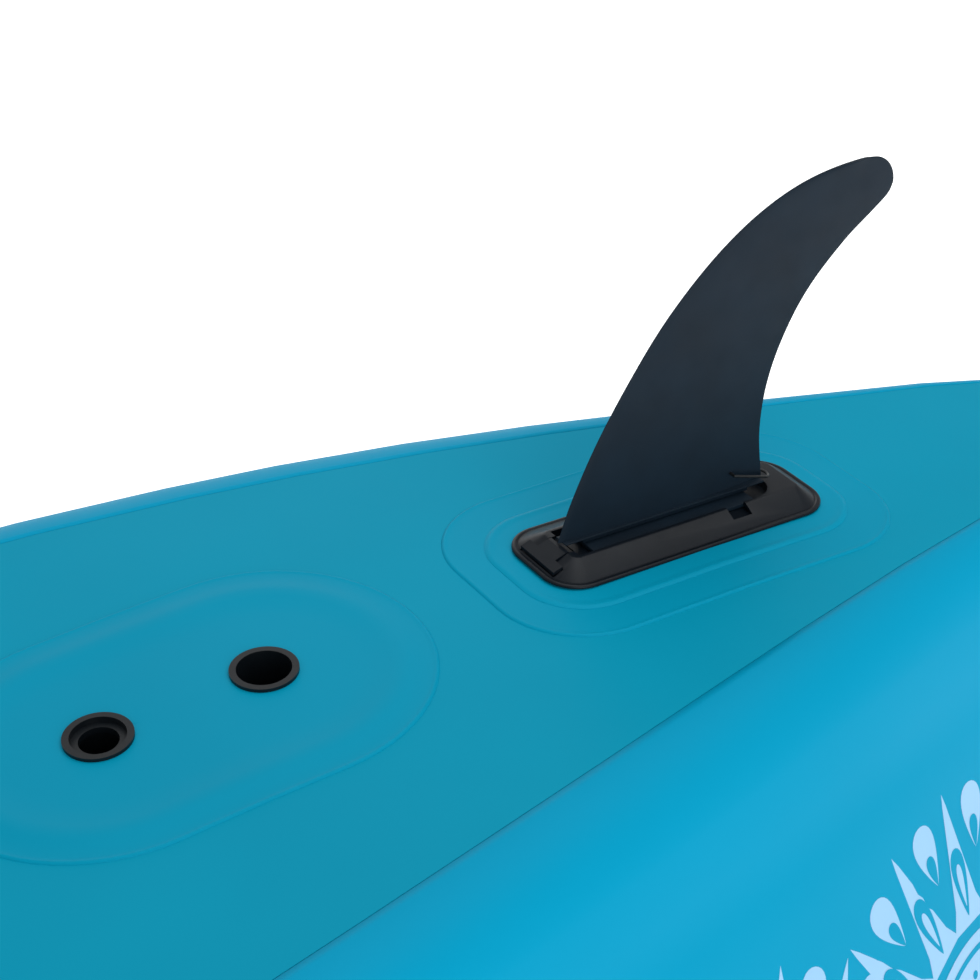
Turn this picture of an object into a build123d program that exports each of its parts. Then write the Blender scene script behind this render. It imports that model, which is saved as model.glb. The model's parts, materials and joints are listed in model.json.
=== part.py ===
from build123d import *
import math
import os

# Inflatable stand up paddle craft with raised side walls, lying deck down with its underside up.
#
# Frame: +X towards the stern, +Y to port, +Z up out of the underside, along the fin. Millimetres.
# Every piece is placed from the hull's own coordinates: x along the craft, an offset out from the floor
# seam, and a height under the floor's underside. move_to_floor() then stands the craft on z = 0.

# ---- hull ----
HALF_LENGTH = 1900.0           # gunwale tips
FLOOR_AFT = 1800.0             # where the floor panel's seams meet at the stern
FLOOR_FORE = -1790.0           # and at the bow
FLOOR_THICKNESS = 130.0
SEAM = [(-1790, 0), (-1750, 17), (-1670, 44), (-1560, 78), (-1400, 128), (-1100, 196), (-700, 254),
        (-250, 283), (200, 286), (560, 265), (840, 226), (1056, 184), (1240, 140), (1420, 96), (1560, 67),
        (1680, 34), (1760, 13), (1800, 0)]   # half width of the floor panel, seam to centreline
STATIONS = [-1850, -1790, -1740, -1660, -1560, -1420, -1200, -900, -500, 0, 420, 780, 885, 985, 1062, 1150,
            1240, 1345, 1440, 1535, 1620, 1690, 1750, 1800, 1860]
TIPS = ([-1888, -1870, -1850.5], [1860.5, 1878, 1893])        # stations of the moulded end caps
AFT_FLAT_END = 780.0           # the keel line is straight between these two
FORE_FLAT_END = -600.0
AFT_ROCKER = 1.145e-4          # per mm
END_LIFT = AFT_ROCKER * (HALF_LENGTH - AFT_FLAT_END) ** 2
FORE_ROCKER = END_LIFT / (HALF_LENGTH + FORE_FLAT_END) ** 2
AFT_TAPER = 1090.0             # the side walls draw in from here to the tips
FORE_TAPER = -900.0
TIP_HEIGHT = -230.0            # the walls close at this height under the floor's underside
SKIN = 2.0
CHINE_R = 65.0
CHINE_END = 62.0               # degrees the chine turns before the wall runs straight
WALL_START = (71.0, -66.0)
WALL_ANGLE = 65.0              # degrees below level
WALL_LENGTH = 210.0
WALL_R = 45.0                  # half the side wall's thickness
CLEAR = 0.6                    # between a fitting and the skin under it
SEAM_GAP = 0.6                 # between the edges of two panels, under the seam tape

# ---- fin and its box ----
BOX_X = 1240.0
BOX_L, BOX_W, BOX_R = 220.6, 78.0, 25.0
BOX_LIP, BOX_TOP = 3.0, 10.0
ROOF_X0, ROOF_X1, ROOF_W = -89.0, 94.0, 37.0
TROUGH_X0, TROUGH_X1, TROUGH_W, TROUGH_Z = -84.0, 77.0, 33.0, 4.6
NOTCH_X0, NOTCH_X1, NOTCH_W = 33.0, 48.5, 53.0
GROOVE_W, GROOVE_TOP = 42.0, 7.6
FIN_ROOT_Z = 12.0
FIN_LEAD = [(12, -88), (38, -80.6), (76, -64.4), (115, -41.8), (154, -15.5), (189, 21)]
FIN_SWEEP = (154.0, 21.0, 0.4507)      # above the first, a power of the distance under the top
FIN_TIP = (133.0, 230.6)               # where the leading edge runs level into the tip
FIN_TRAIL = [(12, 76), (50, 70.4), (85, 72.7), (118, 83), (148, 100), (176, 126.5), (194, 150),
             (202, 159.5), (209, 162.6)]
FIN_CORNER = (141.0, 209.0, 21.6)      # round of the tip's trailing corner: centre and radius
FIN_LEVELS = [12, 30, 50, 70, 90, 110, 130, 150, 168, 184, 198, 209, 217, 223, 227, 229.3, 230.4]
FIN_T_ROOT, FIN_T_TIP = 8.0, 3.0
FIN_FORM = [(0.0, 0.16), (0.05, 0.52), (0.16, 0.84), (0.35, 1.0), (0.6, 0.82), (0.84, 0.42), (1.0, 0.12)]
LOOP_PIVOT = (47.0, 25.0)
LOOP_TILT = -17.0
LOOP_REACH, LOOP_HALF, LOOP_WIRE = 34.0, 7.0, 1.0

# ---- floor fittings ----
DRAIN_X = (BOX_X - 410.2, BOX_X - 301.0)         # front one, rear one
DRAIN_FLANGE_R, DRAIN_BORE_R, DRAIN_TUBE_R = 21.3, 17.0, 19.5
DRAIN_FLANGE_T = 2.4
SEAT_R = 12.2
PLUG_LENGTH = 24.0
PATCH_T, PAD_T = 0.8, 1.0
DRAIN_PATCH = (320.0, 214.0)
FIN_PATCH = (300.0, 174.0, 62.0)
FIN_PAD = (252.0, 120.0, 44.0)
VALVE_X = 1100.0
SIDE_VALVE_X = 620.0
VALVE_FLANGE_R, VALVE_CUP_R, VALVE_BORE_R = 29.0, 24.0, 22.0
DECK_PADS = {"deck_pad_front": (-1020, -30), "deck_pad_rear": (30, 760)}
DECK_PAD_T, DECK_PAD_INSET = 6.0, 38.0
SEAT_RING_X = {"front": -330.0, "rear": 350.0}
DECK_RING_X = {"bow_ring": -1160.0, "leash_ring": 1195.0}
HANDLE_X = {"bow_handle": -1400.0, "stern_handle": 1390.0}
SIDE_HANDLE_X = 60.0
RING_WIRE, RING_HALF, RING_DROP = 2.5, 15.0, 24.0
RING_HEIGHT = 5.6

parts = {}


def smooth(points, x):
    """Cubic curve through (x, value) points, level or sloped as its neighbours say."""
    if x <= points[0][0]:
        return points[0][1]
    if x >= points[-1][0]:
        return points[-1][1]
    i = max(n for n, p in enumerate(points) if p[0] <= x)
    (x0, y0), (x1, y1) = points[i], points[i + 1]

    def slope(n):
        a, b = points[max(n - 1, 0)], points[min(n + 1, len(points) - 1)]
        return (b[1] - a[1]) / (b[0] - a[0])
    h = x1 - x0
    u = (x - x0) / h
    return ((1 + 2 * u) * (1 - u) ** 2 * y0 + u * (1 - u) ** 2 * h * slope(i)
            + u * u * (3 - 2 * u) * y1 + u * u * (u - 1) * h * slope(i + 1))


def rocker(x):
    """How far the keel line has dropped at x."""
    return AFT_ROCKER * max(0.0, x - AFT_FLAT_END) ** 2 + FORE_ROCKER * max(0.0, FORE_FLAT_END - x) ** 2


def between_stations(value, x):
    """The value at x on the straight rulings that join two neighbouring stations."""
    if not STATIONS[0] <= x <= STATIONS[-1]:
        return value(x)
    i = max(0, min(len(STATIONS) - 2, sum(1 for s in STATIONS if s <= x) - 1))
    a, b = STATIONS[i], STATIONS[i + 1]
    return value(a) + (value(b) - value(a)) * (x - a) / (b - a)


def drop(x):
    return between_stations(rocker, x)


def half_width(x):
    return between_stations(lambda s: smooth(SEAM, s), x)


def taper(x):
    """How much of its full flare the side wall has at x."""
    if x > 0:
        s = (x - AFT_TAPER) / (HALF_LENGTH - AFT_TAPER)
    else:
        s = (x - FORE_TAPER) / (-HALF_LENGTH - FORE_TAPER)
    return 1.0 if s <= 0 else max(0.0, 1 - s ** 1.6) ** 1.1


def stem(x):
    """How much of its full height the section has at x, past the floor's ends."""
    end, tip = (FLOOR_AFT, HALF_LENGTH) if x > 0 else (FLOOR_FORE, -HALF_LENGTH)
    r = (x - end) / (tip - end)
    return 1.0 if r <= 0 else math.sqrt(max(0.0, 1 - r * r))


def place(x, out, height):
    """Point of the port side at x: out from the seam, height under the floor's underside."""
    z = TIP_HEIGHT + (height - TIP_HEIGHT) * between_stations(stem, x)
    return Vector(x, half_width(x) + between_stations(taper, x) * out, z - drop(x))


def arc_points(centre, radius, start, end, count):
    """Points on a circle in the section, angles in degrees from straight out."""
    steps = [math.radians(start + (end - start) * n / (count - 1)) for n in range(count)]
    return [(centre[0] + radius * math.cos(a), centre[1] + radius * math.sin(a)) for a in steps]


def wall_point(s, inset=0.0):
    """Point of the wall's outer face, s down it from WALL_START, inset square to it."""
    a = math.radians(WALL_ANGLE)
    return (WALL_START[0] + s * math.cos(a) - inset * math.sin(a),
            WALL_START[1] - s * math.sin(a) - inset * math.cos(a))


GUNWALE = wall_point(WALL_LENGTH, WALL_R)
OUTER = (arc_points((0, -CHINE_R), CHINE_R, 90, 90 - CHINE_END, 5) + [WALL_START, wall_point(140)]
         + arc_points(GUNWALE, WALL_R, 90 - WALL_ANGLE, -89.2, 4))
INNER = (arc_points(GUNWALE, WALL_R, -90.8, -90 - WALL_ANGLE, 3)
         + [wall_point(WALL_LENGTH - 90, 2 * WALL_R), wall_point(32, 2 * WALL_R)])
FLOOR_EDGE = [(-5, -SKIN - 0.4), (-5, -FLOOR_THICKNESS + SKIN + 0.4)]


def inward(points, depth):
    """The same line moved depth to its right hand side."""
    moved = []
    for i, (y, z) in enumerate(points):
        a, b = points[max(i - 1, 0)], points[min(i + 1, len(points) - 1)]
        dy, dz = b[0] - a[0], b[1] - a[1]
        length = math.hypot(dy, dz)
        moved.append((y + depth * dz / length, z - depth * dy / length))
    return moved


def ruled(sections):
    return Solid.make_loft([Wire.make_polygon(s, close=True) for s in sections], ruled=True)


def stations(x0, x1):
    return [x0] + [s for s in STATIONS if x0 + 1 < s < x1 - 1] + [x1]


def wall_skin(line, x0=STATIONS[0], x1=STATIONS[-1], skin=SKIN):
    """Port skin that follows a line of the section from x0 to x1."""
    sections = []
    for x in stations(x0, x1):
        flat = [(p.Y, p.Z) for p in (place(x, *q) for q in line)]
        loop = flat + inward(flat, skin)[::-1]
        sections.append([Vector(x, max(y, 0.2), z) for y, z in loop])
    return ruled(sections)


def sheet(x0, x1, half, low, high):
    """A strip across the craft between two heights; half gives its half width at x."""
    sections = []
    for x in stations(x0, x1):
        w, z = half(x), -drop(x)
        sections.append([(x, -w, z + low), (x, w, z + low), (x, w, z + high), (x, -w, z + high)])
    return ruled([[Vector(*p) for p in s] for s in sections])


def both_sides(name, solid):
    parts[name + "_port"] = solid
    parts[name + "_starboard"] = mirror(solid, about=Plane.XZ)


def tangent(x, out, height):
    step = 5.0
    return (place(x + step, out, height) - place(x - step, out, height)).normalized()


def skin_plane(x, out, height, outward, side=1):
    """Plane on the skin at a section point; outward is its normal in the section, (y, z)."""
    origin, along = place(x, out, height), tangent(x, out, height)
    normal = Vector(0, outward[0], outward[1])
    normal = (normal - along * normal.dot(along)).normalized()
    if side < 0:
        origin, along, normal = (Vector(v.X, -v.Y, v.Z) for v in (origin, along, normal))
    return Plane(origin, x_dir=along, z_dir=normal)


def floor_plane(x, height, up=1):
    """Plane on the centreline of the floor; up=1 looks out of the underside, -1 out of the deck."""
    along = Vector(1, 0, -(drop(x + 5) - drop(x - 5)) / 10).normalized()
    normal = Vector(-along.Z, 0, along.X) * up
    return Plane(Vector(x, 0, height - drop(x)), x_dir=along, z_dir=normal)


def disc(radius, low, high):
    return Pos(0, 0, low) * extrude(Circle(radius), high - low)


def ring(outer, inner, low, high):
    return Pos(0, 0, low) * extrude(Circle(outer) - Circle(inner), high - low)


def slab(x0, x1, y0, y1, z0, z1):
    return Pos((x0 + x1) / 2, (y0 + y1) / 2, (z0 + z1) / 2) * Box(x1 - x0, y1 - y0, z1 - z0)


def side_view(points, half):
    """Solid with this outline in XZ, half wide each side of the centreline."""
    return extrude(make_face(Polyline(*[(x, 0, z) for x, z in points], close=True)), half, both=True)


# ---- floor chamber ----
def panel_edge(x):
    return half_width(x) - SEAM_GAP


def floor_chamber():
    bottom = sheet(FLOOR_FORE + 10, FLOOR_AFT - 8, panel_edge, -SKIN, 0)
    deck = sheet(FLOOR_FORE + 10, FLOOR_AFT - 8, panel_edge, -FLOOR_THICKNESS, -FLOOR_THICKNESS + SKIN)
    for x in DRAIN_X:
        hole = floor_plane(x, 0).location * disc(DRAIN_TUBE_R + CLEAR, -170, 20)
        bottom, deck = bottom - hole, deck - hole
    deck -= floor_plane(VALVE_X, -FLOOR_THICKNESS, -1).location * disc(VALVE_CUP_R + CLEAR, -20, 10)
    parts["bottom_skin"], parts["deck_skin"] = bottom, deck
    both_sides("floor_edge", wall_skin(FLOOR_EDGE, FLOOR_FORE + 24, FLOOR_AFT - 14))


# ---- side walls ----
def side_walls():
    both_sides("hull_side", wall_skin(OUTER))
    inner = wall_skin(INNER)
    hole = side_valve_plane().location * disc(VALVE_CUP_R + CLEAR, -12, 12)
    both_sides("cockpit_side", inner - hole)


def end_caps():
    """Moulded caps that close the two side walls at the bow and the stern."""
    for name, xs in zip(("bow_cap", "stern_cap"), TIPS):
        sections = []
        for x in xs:
            port = [place(x, *q) for q in OUTER]
            sections.append(port + [Vector(p.X, -p.Y, p.Z) for p in port[:0:-1]])
        parts[name] = ruled(sections)


# ---- reinforcement patches on the underside ----
def patches():
    def patch(outline, x, low, high):
        prism = Pos(x, 0, -60) * extrude(outline, 120)
        return sheet(x - 200, x + 200, lambda _: 130, low, high) & prism
    middle = sum(DRAIN_X) / 2
    drain = patch(SlotOverall(*DRAIN_PATCH), middle, 0, PATCH_T)
    for x in DRAIN_X:
        drain -= floor_plane(x, 0).location * disc(DRAIN_TUBE_R + CLEAR, -20, 20)
    parts["drain_patch"] = drain
    parts["fin_patch"] = patch(RectangleRounded(*FIN_PATCH), BOX_X, 0, PATCH_T)
    parts["fin_pad"] = patch(RectangleRounded(*FIN_PAD), BOX_X, PATCH_T, PATCH_T + PAD_T)


# ---- fin box, fin, latch, pull loop ----
def fin_frame():
    return floor_plane(BOX_X, PATCH_T + PAD_T)


def latch_outline(grow, half_bar, half_neck):
    """Plan of the latch tongue: a wide bar at the bow end on a narrower neck."""
    bar = slab(-105 - grow, -98 + grow, -half_bar, half_bar, -5, 20)
    neck = slab(-98 - grow, -87.5 + 2 * grow, -half_neck, half_neck, -5, 20)
    return bar + neck


def roof_slope(lift, depth):
    """Side view of a strip that follows the sloping bow face of the box."""
    return [(-107.5, BOX_LIP + 0.6 + lift), (-90, 9.6 + lift), (-85, 9.8 + lift),
            (-85, 9.8 + lift - depth), (-90, 9.4 + lift - depth), (-107.5, BOX_LIP + 0.4 + lift - depth)]


def fin_box():
    lip = Pos(0, 0, -4) * extrude(RectangleRounded(BOX_L, BOX_W, BOX_R), BOX_LIP + 4)
    low = Pos(0, 0, BOX_LIP) * RectangleRounded(BOX_L - 4, BOX_W - 4, BOX_R - 2)
    high = Pos((ROOF_X0 + ROOF_X1) / 2, 0, BOX_TOP) * RectangleRounded(ROOF_X1 - ROOF_X0, ROOF_W, 4)
    box = lip + loft([low, high])
    round_end = TROUGH_W / 2
    trough = slab(TROUGH_X0, TROUGH_X1 - round_end, -round_end, round_end, TROUGH_Z, 30)
    trough += Pos(TROUGH_X1 - round_end, 0, 0) * disc(round_end, TROUGH_Z, 30)
    groove = slab(NOTCH_X0, 66, -GROOVE_W / 2, GROOVE_W / 2, TROUGH_Z, GROOVE_TOP)
    notch = slab(NOTCH_X0, NOTCH_X1, -NOTCH_W / 2, NOTCH_W / 2, TROUGH_Z, 30)
    pocket = latch_outline(0.5, 19.2, 10.6) & side_view(roof_slope(3, 7.2), 30)
    box = box - trough - groove - notch - pocket
    ground = sheet(BOX_X - 200, BOX_X + 200, lambda _: 60, -60, PATCH_T + PAD_T)
    parts["fin_box"] = fin_frame().location * box - ground


def leading_edge(level):
    """Place of the fin's leading edge along the craft, at a level over its box."""
    start, reach, power = FIN_SWEEP
    if level <= start:
        return smooth(FIN_LEAD, level)
    return FIN_TIP[0] - reach * (FIN_TIP[1] - level) ** power


def trailing_edge(level):
    """The same for its trailing edge, which ends in a round corner."""
    x, base, radius = FIN_CORNER
    if level <= base:
        return smooth(FIN_TRAIL, level)
    return x + math.sqrt(radius ** 2 - (level - base) ** 2)


def fin_section(level):
    lead, trail = leading_edge(level), trailing_edge(level)
    full = FIN_T_ROOT + (FIN_T_TIP - FIN_T_ROOT) * (level - FIN_ROOT_Z) / (230 - FIN_ROOT_Z)
    half = [(lead + u * (trail - lead), t * full / 2) for u, t in FIN_FORM]
    return [Vector(x, y, level) for x, y in half + [(x, -y) for x, y in half[::-1]]]


def fin():
    blade = ruled([fin_section(level) for level in FIN_LEVELS])
    blade += slab(-72, 62, -3.4, 3.4, 8, FIN_ROOT_Z + 0.5)
    blade += slab(-71, 59, -15.8, 15.8, 5.2, 8)
    blade += slab(50, 58, -20.4, 20.4, 5.2, 7.2)
    px, pz = LOOP_PIVOT
    blade -= Pos(px, 0, pz) * Rot(90, 0, 0) * Cylinder(LOOP_WIRE + 0.05, 30)
    parts["fin"] = fin_frame().location * blade


def fin_latch():
    tongue = latch_outline(0, 18.6, 10.0) & side_view(roof_slope(0.4, 2.0), 30)
    parts["fin_latch"] = fin_frame().location * tongue


def fin_pull_loop():
    r = LOOP_WIRE
    reach = LOOP_REACH - LOOP_HALF
    leg = Pos(reach / 2, 0, 0) * Rot(0, 90, 0) * Cylinder(r, reach)
    loop = Rot(90, 0, 0) * Cylinder(r, 2 * LOOP_HALF)
    for side in (-1, 1):
        loop += Pos(0, side * LOOP_HALF, 0) * (leg + Sphere(r))
    bow = Pos(reach, 0, 0) * (Torus(LOOP_HALF, r) & slab(0, 20, -20, 20, -5, 5))
    px, pz = LOOP_PIVOT
    parts["fin_pull_loop"] = fin_frame().location * Pos(px, 0, pz) * Rot(0, -LOOP_TILT, 0) * (loop + bow)


# ---- drains ----
def drains():
    depth = FLOOR_THICKNESS + DRAIN_FLANGE_T
    for name, x in zip(("front_drain", "rear_drain"), DRAIN_X):
        top = floor_plane(x, PATCH_T).location
        tube = ring(DRAIN_TUBE_R, DRAIN_BORE_R, -depth - PATCH_T, 0)
        tube += ring(DRAIN_FLANGE_R, DRAIN_BORE_R, 0, DRAIN_FLANGE_T)
        parts[name + "_tube"] = top * tube
        collar = ring(26, DRAIN_TUBE_R + 0.05, 0, 2.0)
        deck = top * Pos(0, 0, -FLOOR_THICKNESS - PATCH_T - 0.2) * Rot(180, 0, 0)
        parts[name + "_collar"] = deck * collar
        plug = disc(DRAIN_BORE_R - 0.06, -PLUG_LENGTH, 3.4) + disc(23, 3.4, 6.4) + ring(9, 5.5, 6.4, 12)
        parts[name + "_plug"] = deck * plug
    top = floor_plane(DRAIN_X[0], PATCH_T).location
    seat = ring(DRAIN_BORE_R - 0.02, SEAT_R, -6.0, -1.6)
    parts["front_drain_seat"] = top * seat


# ---- valves ----
def valve(name, plane):
    """Inflation valve: body with a webbed seat, a plunger that springs shut, bayonet cap."""
    at = plane.location
    body = ring(VALVE_FLANGE_R, VALVE_BORE_R, 0, 4) + ring(VALVE_CUP_R, VALVE_BORE_R, -26, 0)
    web = disc(VALVE_BORE_R, -14, -12) - disc(3.06, -15, -11)
    for turn in range(3):
        web -= Rot(0, 0, 120 * turn) * Pos(10, 0, 0) * disc(4.4, -15, -11)
    parts[name + "_body"] = at * (body + web)
    plunger = disc(3, -20, -5) + disc(7, -5, -2.4) + disc(16, -17.2, -14.2)
    parts[name + "_plunger"] = at * plunger
    cap = disc(27, 4.2, 9) + disc(VALVE_BORE_R - 0.08, -1.2, 4.2)
    for turn in range(12):
        cap -= Rot(0, 0, 30 * turn) * Pos(28.4, 0, 0) * disc(2.6, 4, 10)
    parts[name + "_cap"] = at * cap


def side_valve_plane(side=1):
    a = math.radians(WALL_ANGLE)
    face = wall_point(120, 2 * WALL_R + CLEAR)
    return skin_plane(SIDE_VALVE_X, *face, (-math.sin(a), -math.cos(a)), side)


# ---- deck pads ----
def deck_pads():
    for name, (x0, x1) in DECK_PADS.items():
        raw = sheet(x0, x1, lambda x: min(half_width(x) - DECK_PAD_INSET, 205), -FLOOR_THICKNESS - DECK_PAD_T,
                    -FLOOR_THICKNESS)
        ends = RectangleRounded(x1 - x0, 420, 60)
        parts[name] = raw & (Pos((x0 + x1) / 2, 0, -400) * extrude(ends, 600))


# ---- rings ----
def ring_loop():
    """D shaped ring in its own plane: bar along Y at the origin, bow towards -Z."""
    r, drop_to = RING_WIRE, RING_DROP - RING_HALF
    bar = Rot(90, 0, 0) * Cylinder(r, 2 * RING_HALF)
    leg = Pos(0, 0, -drop_to / 2) * Cylinder(r, drop_to)
    loop = bar
    for side in (-1, 1):
        loop += Pos(0, side * RING_HALF, 0) * (leg + Sphere(r))
    bow = Rot(0, 90, 0) * Torus(RING_HALF, r) & slab(-9, 9, -30, 30, -30, 0)
    return loop + Pos(0, 0, -drop_to) * bow


def ring_mount(plane):
    """Round patch and a webbing strap whose arch holds the ring's bar, on a skin."""
    patch = disc(34, 0, PATCH_T)
    arch_r = RING_WIRE + 0.1
    arch = ring(arch_r + 1.4, arch_r, -10, 10)
    arch = Pos(0, 0, RING_HEIGHT) * Rot(90, 0, 0) * arch & slab(-9, 9, -10, 10, RING_HEIGHT, 20)
    legs = slab(arch_r, arch_r + 1.4, -10, 10, PATCH_T, RING_HEIGHT)
    foot = slab(arch_r, 27, -10, 10, PATCH_T, PATCH_T + 1.4)
    strap = arch + legs + foot + Rot(0, 0, 180) * (legs + foot)
    return plane.location * patch, plane.location * strap


def rings():
    planes = {}
    a = math.radians(WALL_ANGLE)
    for where, x in SEAT_RING_X.items():
        face = wall_point(105, 2 * WALL_R + CLEAR)
        for tag, side in (("port", 1), ("starboard", -1)):
            planes[f"seat_ring_{where}_{tag}"] = skin_plane(x, *face, (-math.sin(a), -math.cos(a)), side)
    for name, x in DECK_RING_X.items():
        planes[name] = floor_plane(x, -FLOOR_THICKNESS - CLEAR, -1)
    patches_all, straps = [], []
    for name, plane in planes.items():
        turned = Plane(plane.origin, x_dir=plane.y_dir, z_dir=plane.z_dir)
        if not name.startswith("seat"):
            turned = plane
        patch, strap = ring_mount(turned)
        patches_all.append(patch)
        straps.append(strap)
        bar = turned.origin + turned.z_dir * RING_HEIGHT
        bar_dir = turned.y_dir
        down = (Vector(0, 0, -1) - bar_dir * Vector(0, 0, -1).dot(bar_dir)).normalized()
        hang = Plane(bar, x_dir=bar_dir.cross(down * -1), z_dir=down * -1)
        parts[name] = hang.location * ring_loop()
    parts["ring_patches"] = Compound(children=patches_all)
    parts["ring_webbing"] = Compound(children=straps)


# ---- carry handles ----
def handle(name, plane_at):
    """Webbing strap on two patches, with a tubular grip round its raised middle; returns the patches."""
    middle = plane_at(0)
    at = middle.location
    rise, half, foot, web = 28.0, 118.0, 102.0, 2.0

    def skin_height(s):
        return middle.to_local_coords(plane_at(s).origin).Z + PATCH_T + 0.2
    line = [(-half, skin_height(-half)), (-half + 36, skin_height(-half + 36)), (-62, rise), (62, rise),
            (half - 36, skin_height(half - 36)), (half, skin_height(half))]
    upper = [(x, z + web) for x, z in line]
    side = make_face(Polyline(*[(x, 0, z) for x, z in line + upper[::-1]], close=True))
    parts[name + "_strap"] = at * extrude(side, 19, both=True)
    sleeve = RectangleRounded(46, 16, 7.4) - Rectangle(38.4, web + 0.4)
    grip = Pos(-54, 0, rise + web / 2) * (Plane.YZ.location * extrude(sleeve, 108))
    parts[name + "_grip"] = at * grip
    return [plane_at(s).location * extrude(RectangleRounded(58, 62, 14), PATCH_T) for s in (-foot, foot)]


def handles():
    patches_all = []
    for name, x in HANDLE_X.items():
        patches_all += handle(name, lambda s: floor_plane(x + s, -FLOOR_THICKNESS - CLEAR, -1))
    a = math.radians(WALL_ANGLE)
    face = wall_point(118, -CLEAR)
    for tag, side in (("port", 1), ("starboard", -1)):
        patches_all += handle(f"side_handle_{tag}", lambda s: skin_plane(
            SIDE_HANDLE_X + s, *face, (math.sin(a), math.cos(a)), side))
    parts["handle_patches"] = Compound(children=patches_all)


def move_to_floor():
    """Stand the craft on z = 0 and put the middle of its length at x = 0."""
    box = parts["hull_side_port"].bounding_box()
    shift = Pos(-(box.min.X + box.max.X) / 2, 0, -box.min.Z)
    for name in parts:
        parts[name] = shift * parts[name]
    return shift.position


def main():
    floor_chamber()
    side_walls()
    end_caps()
    patches()
    fin_box()
    fin()
    fin_latch()
    fin_pull_loop()
    drains()
    valve("floor_valve", floor_plane(VALVE_X, -FLOOR_THICKNESS - CLEAR, -1))
    for tag, side in (("port", 1), ("starboard", -1)):
        valve(f"side_valve_{tag}", side_valve_plane(side))
    deck_pads()
    rings()
    handles()
    moved = move_to_floor()
    print("moved by", tuple(round(v, 3) for v in moved))
    os.makedirs("parts", exist_ok=True)
    for name, shape in parts.items():
        export_step(shape, f"parts/{name}.step")
    print(len(parts), "parts")


main()
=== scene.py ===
"""Looks of an inflatable stand up paddle craft that lies deck down, with its underside up.

Lengths are in millimetres, in the hull's own coordinates (x along the craft, out from the floor seam,
height under the floor's underside), until Hull.point turns them into the row frame in metres.
"""

import json
import logging
import math
from dataclasses import dataclass, field
from enum import Enum
from typing import Callable, Iterable, Sequence

import bmesh
import bpy
from mathutils import Matrix, Vector

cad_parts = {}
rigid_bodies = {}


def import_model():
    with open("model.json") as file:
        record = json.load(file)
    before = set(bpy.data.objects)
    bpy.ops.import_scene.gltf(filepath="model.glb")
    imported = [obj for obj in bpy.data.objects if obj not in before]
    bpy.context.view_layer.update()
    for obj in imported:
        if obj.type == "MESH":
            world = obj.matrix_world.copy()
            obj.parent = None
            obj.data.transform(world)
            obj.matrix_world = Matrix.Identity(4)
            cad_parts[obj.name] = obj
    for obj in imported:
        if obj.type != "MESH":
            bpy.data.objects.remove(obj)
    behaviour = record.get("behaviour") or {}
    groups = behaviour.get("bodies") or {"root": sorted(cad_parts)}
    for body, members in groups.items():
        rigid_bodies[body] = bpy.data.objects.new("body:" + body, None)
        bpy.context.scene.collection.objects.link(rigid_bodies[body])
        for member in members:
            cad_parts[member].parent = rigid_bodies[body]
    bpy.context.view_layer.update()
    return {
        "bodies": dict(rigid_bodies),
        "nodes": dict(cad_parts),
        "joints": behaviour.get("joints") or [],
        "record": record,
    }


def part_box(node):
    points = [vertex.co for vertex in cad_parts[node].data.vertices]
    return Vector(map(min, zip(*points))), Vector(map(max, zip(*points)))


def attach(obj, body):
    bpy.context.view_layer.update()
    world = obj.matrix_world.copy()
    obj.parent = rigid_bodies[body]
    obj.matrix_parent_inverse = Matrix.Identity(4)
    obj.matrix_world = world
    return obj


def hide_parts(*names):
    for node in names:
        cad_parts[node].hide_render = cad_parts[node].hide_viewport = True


LOG = logging.getLogger("paddle_craft")
Pair = tuple[float, float]
Triple = tuple[float, float, float]
Face = tuple[int, ...]
MM = 0.001


# ---------------------------------------------------------------- colour and nodes
def linear(colour: str) -> tuple[float, float, float, float]:
    """Turn an sRGB hex value into linear light.

    Args:
        colour: six hex digits after a hash.

    Returns:
        Linear red, green, blue and an alpha of 1.
    """
    raw = [int(colour[i:i + 2], 16) / 255 for i in (1, 3, 5)]
    return tuple(c / 12.92 if c <= 0.04045 else ((c + 0.055) / 1.055) ** 2.4 for c in raw) + (1.0,)


def add_node(tree: bpy.types.NodeTree, kind: str, inputs: dict | None = None,
             **settings: object) -> bpy.types.Node:
    """Add a shader node with its settings, and fill or link its inputs.

    Args:
        tree: the material's node tree.
        kind: the node's type name.
        inputs: socket name or index to a value, or to the output socket that feeds it.
        **settings: attributes of the node itself.

    Returns:
        The new node.
    """
    node = tree.nodes.new(kind)
    for name, value in settings.items():
        setattr(node, name, value)
    for name, value in (inputs or {}).items():
        if isinstance(value, bpy.types.NodeSocket):
            tree.links.new(value, node.inputs[name])
        else:
            node.inputs[name].default_value = value
    return node


def wave_scale(period_mm: float) -> float:
    """Scale of a wave texture whose bands repeat every period_mm on coordinates in metres."""
    return 2 * math.pi / (20 * period_mm * MM)


def noise_scale(size_mm: float) -> float:
    """Scale of a noise texture whose blotches are about size_mm across."""
    return 1 / (size_mm * MM)


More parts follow.
